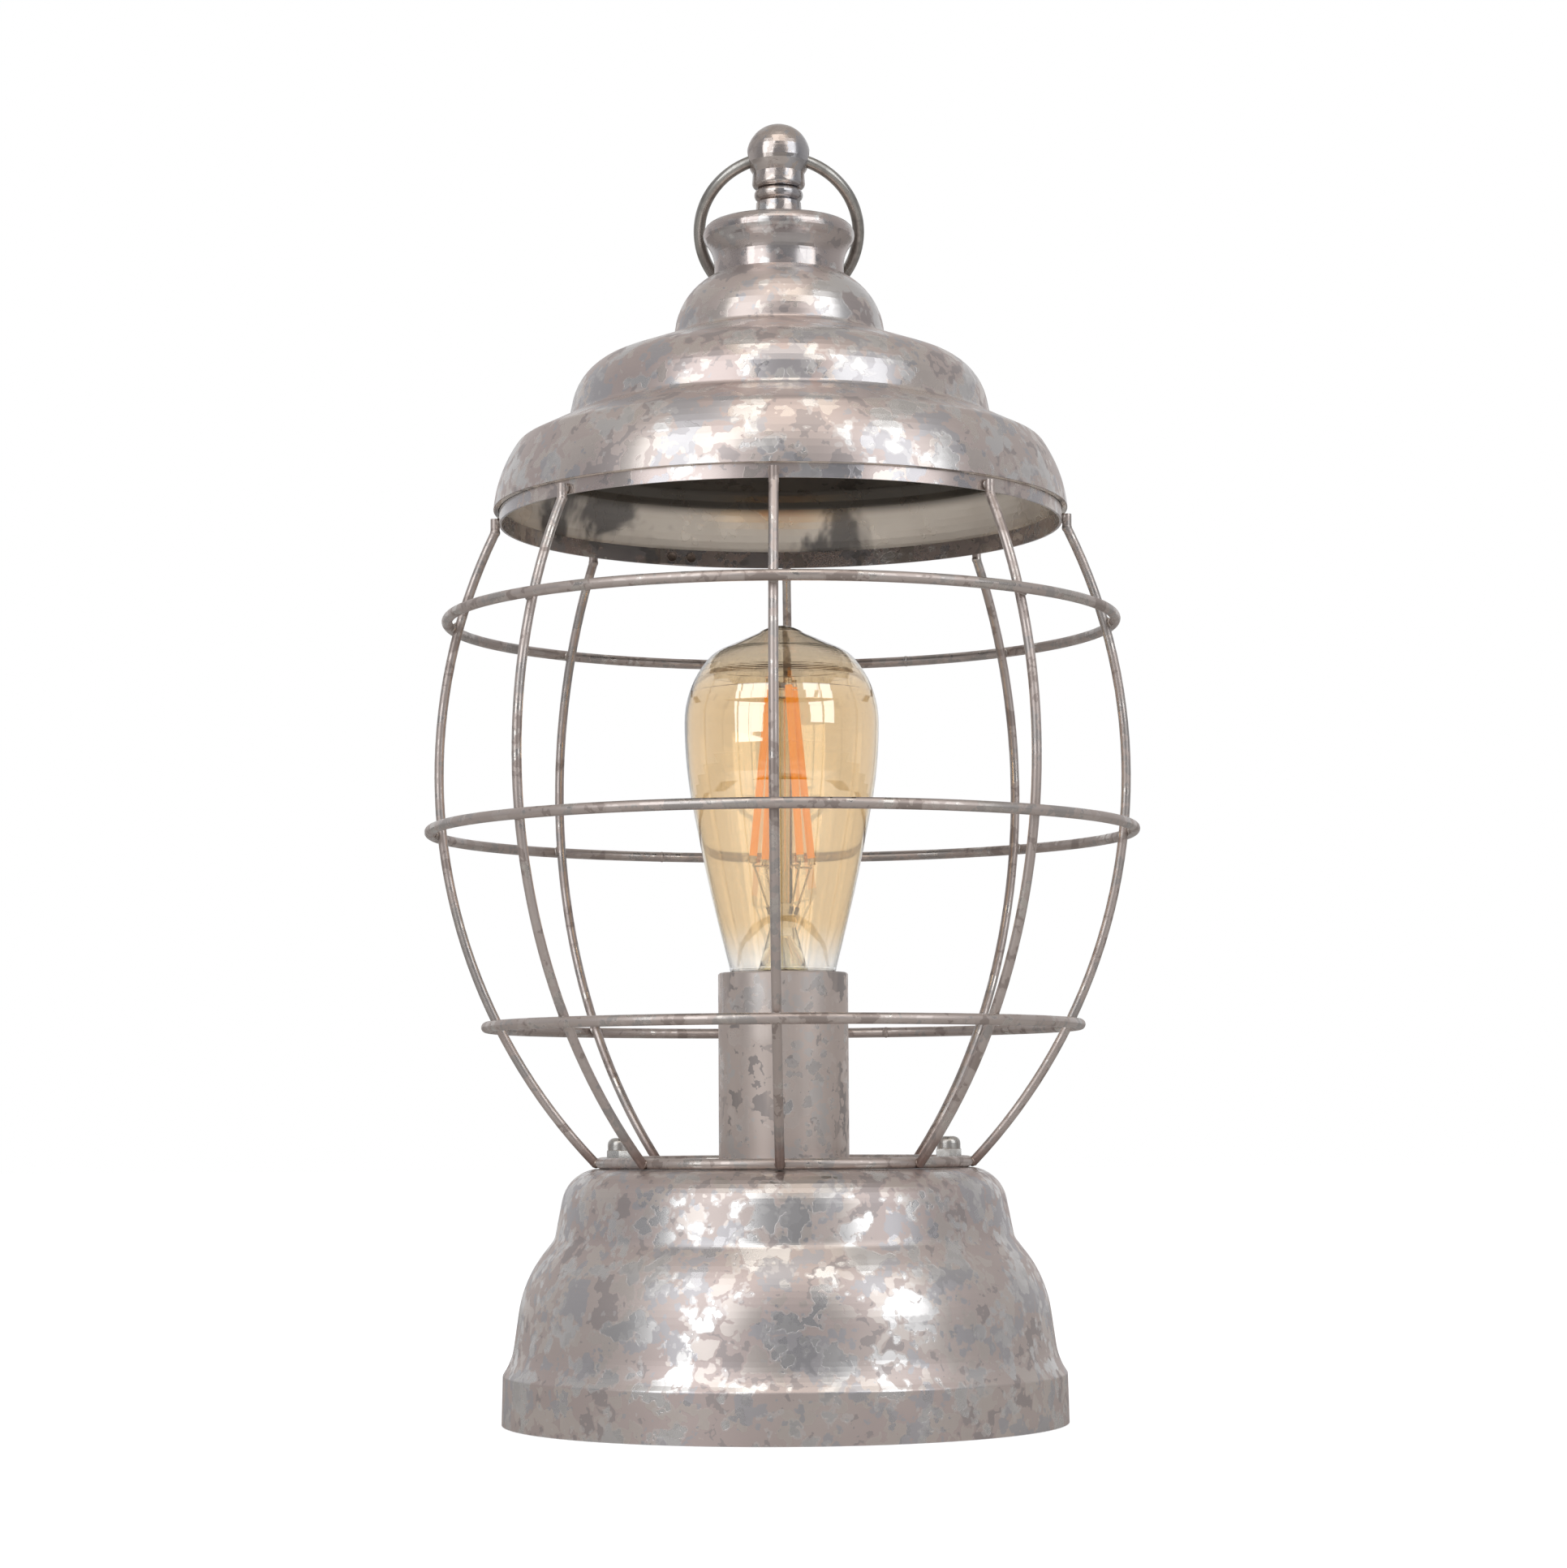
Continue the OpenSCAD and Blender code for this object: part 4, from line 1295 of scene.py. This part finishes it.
@dataclass
class SpunBase:
    """Spun bell, floor plate, ballast and grommet."""

    screws: int = 3
    screw_pcr: float = 38.0 * MM
    screw_z: float = 0.7 * MM
    head_r: float = 3.4 * MM
    head_h: float = 1.3 * MM
    head_rim: float = 0.55 * MM
    head_round: float = 0.22 * MM
    shank_r: float = 2.0 * MM
    shank_h: float = 6.7 * MM
    shank_taper: float = 0.8
    cross_bar: Place = (3.6 * MM, 0.8 * MM, 1.8 * MM)
    cross_taper: Place = (0.35, 0.7, 1.0)
    cross_turn: Place2 = (25.0, 31.0)

    def dress(self) -> None:
        """Gives the base's nodes their finishes."""
        dress(
            {
                "base_shell": SHEET,
                "base_plate": ZINC,
                "base_weight": IRON,
                "cord_grommet": RUBBER,
                "nipple": BRASS,
                "nipple_nuts": BRASS,
                "nipple_washers": ZINC,
            }
        )

    def cross(self) -> bpy.types.Object:
        """The tapered cross that cuts a screw head's recess, point up at the origin.

        Returns:
            The cross.
        """
        bars = []
        for bearing in (0.0, 90.0):
            Bench.clear()
            bpy.ops.mesh.primitive_cube_add(size=1.0)
            bar = Bench.begin("cross")
            Bench.all(bar)
            bpy.ops.transform.resize(value=self.cross_bar)
            Bench.done()
            Bench.top(bar)
            bpy.ops.transform.resize(value=self.cross_taper)
            Bench.done()
            bar.data.transform(turn_about(bearing))
            bars.append(bar)
        Bench.apply(bars[0], "BOOLEAN", operation="UNION", object=bars[1], solver="EXACT")
        bpy.data.objects.remove(bars[1])
        return bars[0]

    def ballast_screws(self) -> None:
        """Pan-head screws with a cross recess, under the floor plate."""
        master = Bench.rod("screw", 48, self.head_r, self.head_h)
        Bench.top(master)
        bpy.ops.mesh.inset(thickness=self.head_r - self.shank_r)
        Bench.pull(self.shank_h)
        Bench.scale(self.shank_taper)
        Bench.done()
        Bench.foot(master)
        bpy.ops.mesh.inset(thickness=self.head_rim)
        Bench.done()
        Bench.soften(master, self.head_round, 3, 50.0)
        cutter = self.cross()
        cutter.data.transform(Matrix.Translation((0.0, 0.0, -self.head_h / 2)))
        Bench.apply(master, "BOOLEAN", operation="DIFFERENCE", object=cutter, solver="EXACT")
        bpy.data.objects.remove(cutter)
        spots = []
        for screw in range(self.screws):
            stand = Matrix.Translation((self.screw_pcr, 0.0, self.screw_z + self.head_h / 2))
            own = turn_about(self.cross_turn[0] + self.cross_turn[1] * screw)
            spots.append(turn_about(90 + screw * 360 / self.screws) @ stand @ own)
        piece = Bench.copies(master, "ballast_screws", spots)
        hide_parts("weight_screws")
        Bench.seat(piece, ZINC, "zinc_plate", angle=35.0)

    def build(self) -> None:
        """Builds the screws and dresses the base."""
        self.dress()
        self.ballast_screws()


@dataclass
class SocketAndBulb:
    """Socket tube, lampholder and the pear-shaped bulb."""

    filaments: int = 4
    first: float = 31.0
    foot: Place2 = (11.4 * MM, 182.38 * MM)
    head: Place2 = (4.446 * MM, 242.982 * MM)
    lead: Place2 = (4.6 * MM, 164.88 * MM)
    hub_z: float = 241.3 * MM
    tube_z: Place2 = (168.95 * MM, 236.0 * MM)
    tube_r: float = 3.3 * MM
    tube_wall: float = 0.5 * MM
    tube_dome: tuple[Place2, ...] = ((0.9 * MM, 0.88), (0.6 * MM, 0.74), (0.3 * MM, 0.55))
    coat_r: float = 1.25 * MM
    coat_short: float = 3.0 * MM
    coat_cuts: tuple[float, ...] = (-0.35, -0.17, 0.02, 0.21, 0.38)
    coat_uneven: float = 0.03 * MM
    wire_r: float = 0.33 * MM
    clip: Place2 = (1.4 * MM, 2.3 * MM)
    clips_at: Place2 = (0.014, 0.986)
    knot: Place2 = (0.75 * MM, 2.4 * MM)
    knot_at: float = 0.10
    waist: Place2 = (0.18, 0.84)
    cap: Place2 = (2.3 * MM, 1.0 * MM)
    cap_rim: float = 0.7 * MM
    cap_swell: float = 1.7
    arm_x: float = 5.0 * MM
    arm_bend: float = 1.2 * MM
    arm_turn: float = 80.0

    def dress(self) -> None:
        """Gives the nodes of socket and bulb their finishes."""
        dress(
            {
                "socket_tube": TUBE,
                "lampholder_body": CERAMIC,
                "lampholder_shell": BRASS,
                "lampholder_contact": BRASS,
                "bulb_cap": NICKEL,
                "bulb_insulator": BLACK_GLASS,
                "bulb_eyelet": SOLDER,
                "bulb_glass": BULB_GLASS,
                "bulb_stem": STEM_GLASS,
                "bulb_filaments": PAINTED_GLOW_FILAMENT,
                "bulb_wires": LEAD,
            }
        )

    def sleeve(self, radius: float, length: float) -> bpy.types.Object:
        """A crimped sleeve along Z at the origin, with rolled ends and a waist.

        Args:
            radius: Its radius at the ends.
            length: Its length.

        Returns:
            The sleeve.
        """
        piece = Bench.rod("sleeve", 20, radius, length)
        half, width = self.waist
        Bench.all(piece)
        Bench.cut(half * length)
        Bench.cut(-half * length)
        Bench.done()
        Bench.pick(piece, lambda centre, normal: abs(centre.z) < half * length and abs(normal.z) < SIDEWAYS)
        Bench.scale(width)
        Bench.done()
        Bench.ends(piece)
        bpy.ops.mesh.inset(thickness=0.25 * radius)
        Bench.done()
        Bench.soften(piece, 0.1 * radius)
        return piece

    def along(self, low: Place2, high: Place2, share: float) -> list[Matrix]:
        """Places on a line from low to high in each filament's plane, upright along it.

        Args:
            low: Radius and height of the line's lower end.
            high: Radius and height of its upper end.
            share: How far up the line the place lies, from 0 to 1.

        Returns:
            One place for each filament.
        """
        lean = math.atan2(high[0] - low[0], high[1] - low[1])
        middle = (low[0] + share * (high[0] - low[0]), 0.0, low[1] + share * (high[1] - low[1]))
        stand = Matrix.Translation(middle) @ Matrix.Rotation(lean, 4, "Y")
        return self.around(stand)

    def around(self, stand: Matrix) -> list[Matrix]:
        """The places that a stand on the X axis takes in the filaments' planes."""
        step = 360 / self.filaments
        return [turn_about(self.first + turn * step) @ stand for turn in range(self.filaments)]

    def clips(self) -> None:
        """Nickel clips on the ends of the filaments and knots on the leads."""
        spots = [spot for share in self.clips_at for spot in self.along(self.foot, self.head, share)]
        piece = Bench.copies(self.sleeve(*self.clip), "filament_clips", spots)
        Bench.seat(piece, LEAD, "nickel_wire", Body.BULB)
        spots = self.along(self.lead, self.foot, self.knot_at)
        knots = Bench.copies(self.sleeve(*self.knot), "lead_knots", spots)
        Bench.seat(knots, KNOT, "nickel_wire", Body.BULB)

    def coats(self) -> None:
        """The thick translucent coating that is drawn over each filament, in a finish with painted glow."""
        length = math.dist(self.foot, self.head) - self.coat_short
        piece = Bench.rod("coat", 28, self.coat_r, length)
        Bench.ends(piece)
        bpy.ops.mesh.bevel(offset=0.7 * self.coat_r, segments=5, affect="EDGES")
        for share in self.coat_cuts:
            Bench.cut(share * length)
        bpy.ops.mesh.select_all(action="SELECT")
        bpy.ops.transform.vertex_random(offset=self.coat_uneven, uniform=0.2, seed=5)
        Bench.done()
        coats = Bench.copies(piece, "filament_coats", self.along(self.foot, self.head, 0.5))
        Bench.seat(coats, PAINTED_GLOW_FILAMENT, "filament_coating", Body.BULB)

    def hub(self) -> None:
        """The turned cap on the glass rod that the heads of the filaments hang from."""
        piece = Bench.rod("hub", 32, *self.cap)
        Bench.ends(piece)
        bpy.ops.mesh.inset(thickness=self.cap_rim)
        Bench.scale(1.0, self.cap_swell)
        Bench.done()
        Bench.soften(piece, 0.2 * MM, 3, 25.0)
        hub = Bench.copies(piece, "filament_hub", [Matrix.Translation((0.0, 0.0, self.hub_z))])
        Bench.seat(hub, KNOT, "nickel_wire", Body.BULB)

    def stem_tube(self) -> None:
        """The drawn glass tube around the rod, closed to a dome below the hub."""
        low, high = self.tube_z
        piece = Bench.rod("tube", 48, self.tube_r, high - low)
        Bench.foot(piece)
        bpy.ops.mesh.delete(type="ONLY_FACE")
        Bench.done()
        Bench.top(piece)
        Bench.scale(0.90)
        for rise, across in self.tube_dome:
            Bench.pull(rise)
            Bench.scale(across)
        Bench.done()
        Bench.apply(piece, "SOLIDIFY", thickness=self.tube_wall, offset=-1.0)
        Bench.soften(piece, 0.12 * MM, 2, 60.0)
        stand = Matrix.Translation((0.0, 0.0, (low + high) / 2))
        Bench.seat(Bench.copies(piece, "stem_tube", [stand]), STEM_GLASS, "clear_glass", Body.BULB)

    def foot_arms(self) -> None:
        """Bent arms that carry the feet of the filaments from the leads."""
        length = self.foot[0] - self.arm_x
        master = Bench.rod("arm", 12, self.wire_r, length)
        master.data.transform(Matrix.Rotation(math.pi / 2, 4, "Y"))
        Bench.pick(master, lambda centre, normal: normal.x < -SQUARE_ON)
        middle = (-length / 2, 0.0, -self.arm_bend)
        bpy.ops.mesh.spin(steps=6, angle=math.radians(self.arm_turn), center=middle, axis=(0.0, -1.0, 0.0))
        Bench.done()
        Bench.soften(master, 0.1 * MM, 2, 60.0)
        stand = Matrix.Translation((self.arm_x + length / 2, 0.0, self.foot[1] - self.arm_bend))
        arms = Bench.copies(master, "foot_arms", self.around(stand))
        Bench.seat(arms, LEAD, "nickel_wire", Body.BULB)

    def build(self) -> None:
        """Builds the filaments' fittings and dresses the socket and the bulb."""
        self.dress()
        self.coats()
        self.clips()
        self.hub()
        self.stem_tube()
        self.foot_arms()


@dataclass
class LidAndRing:
    """Stepped lid, chimney, turned finial and the carry ring."""

    def build(self) -> None:
        """Dresses the lid, finial and ring."""
        dress(
            {
                "lid_canopy": LID,
                "lid_chimney": CHIMNEY,
                "finial": FINIAL,
                "finial_stud": ZINC,
                "finial_nut": ZINC,
                "finial_washer": ZINC,
                "carry_ring": RING,
            }
        )


# Studio


@dataclass(frozen=True)
class Softbox:
    """A soft lamp that faces the lantern.

    Its bearing in degrees is counted from the camera's side, right positive, and its rise
    from the level. Its size is width and height, a radiance of 1 is white, and its panes
    are columns and rows with bars between them.
    """

    name: str
    bearing: float
    rise: float
    size: Place2
    radiance: float
    colour: Colour
    panes: tuple[int, int] = (1, 1)
    away: float = 1.5
    bar: float = 0.014
    aim: Place = (0.0, 0.0, 0.2)

    def hang(self) -> None:
        """Hangs the lamp, one light for each pane."""
        across, up = math.radians(self.bearing), math.radians(self.rise)
        out = Vector((math.sin(across) * math.cos(up), -math.cos(across) * math.cos(up), math.sin(up)))
        middle = Vector(self.aim) + self.away * out
        turn = (middle - Vector(self.aim)).to_track_quat("Z", "Y")
        columns, rows = self.panes
        wide = (self.size[0] - self.bar * (columns - 1)) / columns
        tall = (self.size[1] - self.bar * (rows - 1)) / rows
        for pane in range(columns * rows):
            column, row = divmod(pane, rows)
            data = bpy.data.lights.new(self.name, "AREA")
            data.shape = "RECTANGLE"
            data.size, data.size_y = wide, tall
            data.energy = self.radiance * math.pi * wide * tall
            data.color = self.colour
            lamp = bpy.data.objects.new(self.name, data)
            bpy.context.scene.collection.objects.link(lamp)
            lamp.visible_camera = False
            right = (column - (columns - 1) / 2) * (wide + self.bar)
            above = (row - (rows - 1) / 2) * (tall + self.bar)
            lamp.location = middle + turn @ Vector((right, above, 0.0))
            lamp.rotation_mode = "QUATERNION"
            lamp.rotation_quaternion = turn
        LOG.info("%s hangs with %d panes", self.name, columns * rows)


DAYLIGHT = (0.95, 0.98, 1.0)


@dataclass
class Studio:
    """Camera at the photograph's place, pale floor, soft lamps and a white backdrop.

    Reflections see the table and the room's front, side, back and ceiling. What lights the
    lamp otherwise is the cloth and the fill.
    """

    focal_px: float = 4500.0
    frame_px: float = 1932.0
    sensor_mm: float = 36.0
    camera_y: float = -1.204
    camera_z: float = 0.098
    camera_x: float = 0.0005
    pitch: float = 5.25
    roll: float = 0.33
    floor_half: float = 6.0
    floor_z: float = -0.2 * MM
    cloth: Colour = (0.80, 0.80, 0.80)
    cloth_glow: float = 0.60
    fill: Colour = (0.55, 0.55, 0.55)
    table: Colour = (0.52, 0.51, 0.50)
    front: Colour = (0.26, 0.265, 0.285)
    side: Colour = (0.50, 0.50, 0.51)
    back: Colour = (0.74, 0.74, 0.75)
    ceiling: Colour = (0.50, 0.48, 0.46)
    side_band: Place2 = (-0.35, 0.45)
    back_band: Place2 = (0.60, 0.92)
    ceiling_band: Place2 = (0.45, 0.95)
    lamps: tuple[Softbox, ...] = (
        Softbox("left_window", -39.0, 26.0, (1.00, 1.40), 2.0, DAYLIGHT, panes=(2, 2)),
        Softbox("right_window", 49.0, 28.0, (0.86, 1.25), 1.9, DAYLIGHT, panes=(2, 2)),
        Softbox("warm_bounce", 4.0, 62.0, (0.95, 0.80), 1.25, (1.0, 0.92, 0.84)),
    )

    def camera(self) -> None:
        """Sets the camera."""
        data = bpy.data.cameras.new("studio_camera")
        data.sensor_width = self.sensor_mm
        data.lens = self.focal_px / self.frame_px * self.sensor_mm
        data.clip_start = 0.05
        data.clip_end = 50.0
        camera = bpy.data.objects.new("studio_camera", data)
        bpy.context.scene.collection.objects.link(camera)
        camera.location = (self.camera_x, self.camera_y, self.camera_z)
        aim = Matrix.Rotation(math.radians(90 + self.pitch), 4, "X")
        roll = Matrix.Rotation(math.radians(-self.roll), 4, "Z")
        camera.rotation_euler = (aim @ roll).to_euler()
        bpy.context.scene.camera = camera

    def rays(self, board: Board) -> tuple[Amount, Amount]:
        """Tells reflections and plain sight apart.

        Args:
            board: The material or world under construction.

        Returns:
            1 for what a reflection sees, and 1 for what the camera or a pane of glass sees.
        """
        path = board.node("ShaderNodeLightPath")
        glossy = Amount(board, path.outputs["Is Glossy Ray"])
        camera = Amount(board, path.outputs["Is Camera Ray"])
        return glossy, camera.top(Amount(board, path.outputs["Is Transmission Ray"]))

    def floor(self) -> None:
        """Lays the pale floor, which keeps the lamp's shadow."""
        Bench.clear()
        bpy.ops.mesh.primitive_plane_add(size=2 * self.floor_half, location=(0.0, 0.0, self.floor_z))
        floor = Bench.begin("studio_floor")
        board = Board("pale_floor")
        glossy, plain = self.rays(board)
        tone = board.mix(glossy, self.cloth, self.table)
        cloth = board.node("ShaderNodeBsdfDiffuse", {}, {"Color": tone})
        sockets = {"Color": (1.0, 1.0, 1.0), "Strength": plain * self.cloth_glow}
        glow = board.node("ShaderNodeEmission", {}, sockets)
        both = board.node("ShaderNodeAddShader", {}, {0: cloth.outputs[0], 1: glow.outputs[0]})
        floor.data.materials.append(board.finish(both.outputs[0]))

    def world(self) -> None:
        """Sets the room: white behind the lamp, a dim grey room in front of it."""
        world = bpy.data.worlds.new("studio_room")
        bpy.context.scene.world = world
        world.use_nodes = True
        board = Board("room", world.node_tree)
        way = board.node("ShaderNodeTexCoord").outputs["Generated"]
        split = board.node("ShaderNodeSeparateXYZ", {}, {0: way})
        back = Amount(board, split.outputs["Y"])
        room = board.mix(back.step(*self.side_band), self.front, self.side)
        room = board.mix(back.step(*self.back_band), room, self.back)
        above = Amount(board, split.outputs["Z"])
        room = board.mix(above.step(*self.ceiling_band), room, self.ceiling)
        glossy, plain = self.rays(board)
        colour = board.mix(glossy, self.fill, room)
        colour = board.mix(plain, colour, (1.0, 1.0, 1.0))
        shader = board.node("ShaderNodeBackground", {}, {"Color": colour, "Strength": 1.0})
        board.node("ShaderNodeOutputWorld", {}, {0: shader.outputs[0]})

    def build(self) -> None:
        """Sets up camera, floor, room and lamps."""
        self.camera()
        self.floor()
        self.world()
        for lamp in self.lamps:
            lamp.hang()
        bpy.context.scene.view_settings.view_transform = "Standard"


def main() -> None:
    """Builds the lantern's pieces in order and sets up the studio."""
    logging.basicConfig(level=logging.INFO, format="%(name)s %(message)s")
    for part in (Studio(), SpunBase(), WireCage(), SocketAndBulb(), LidAndRing()):
        part.build()
        LOG.info("%s is built", type(part).__name__)


if __name__ == "__main__":
    main()
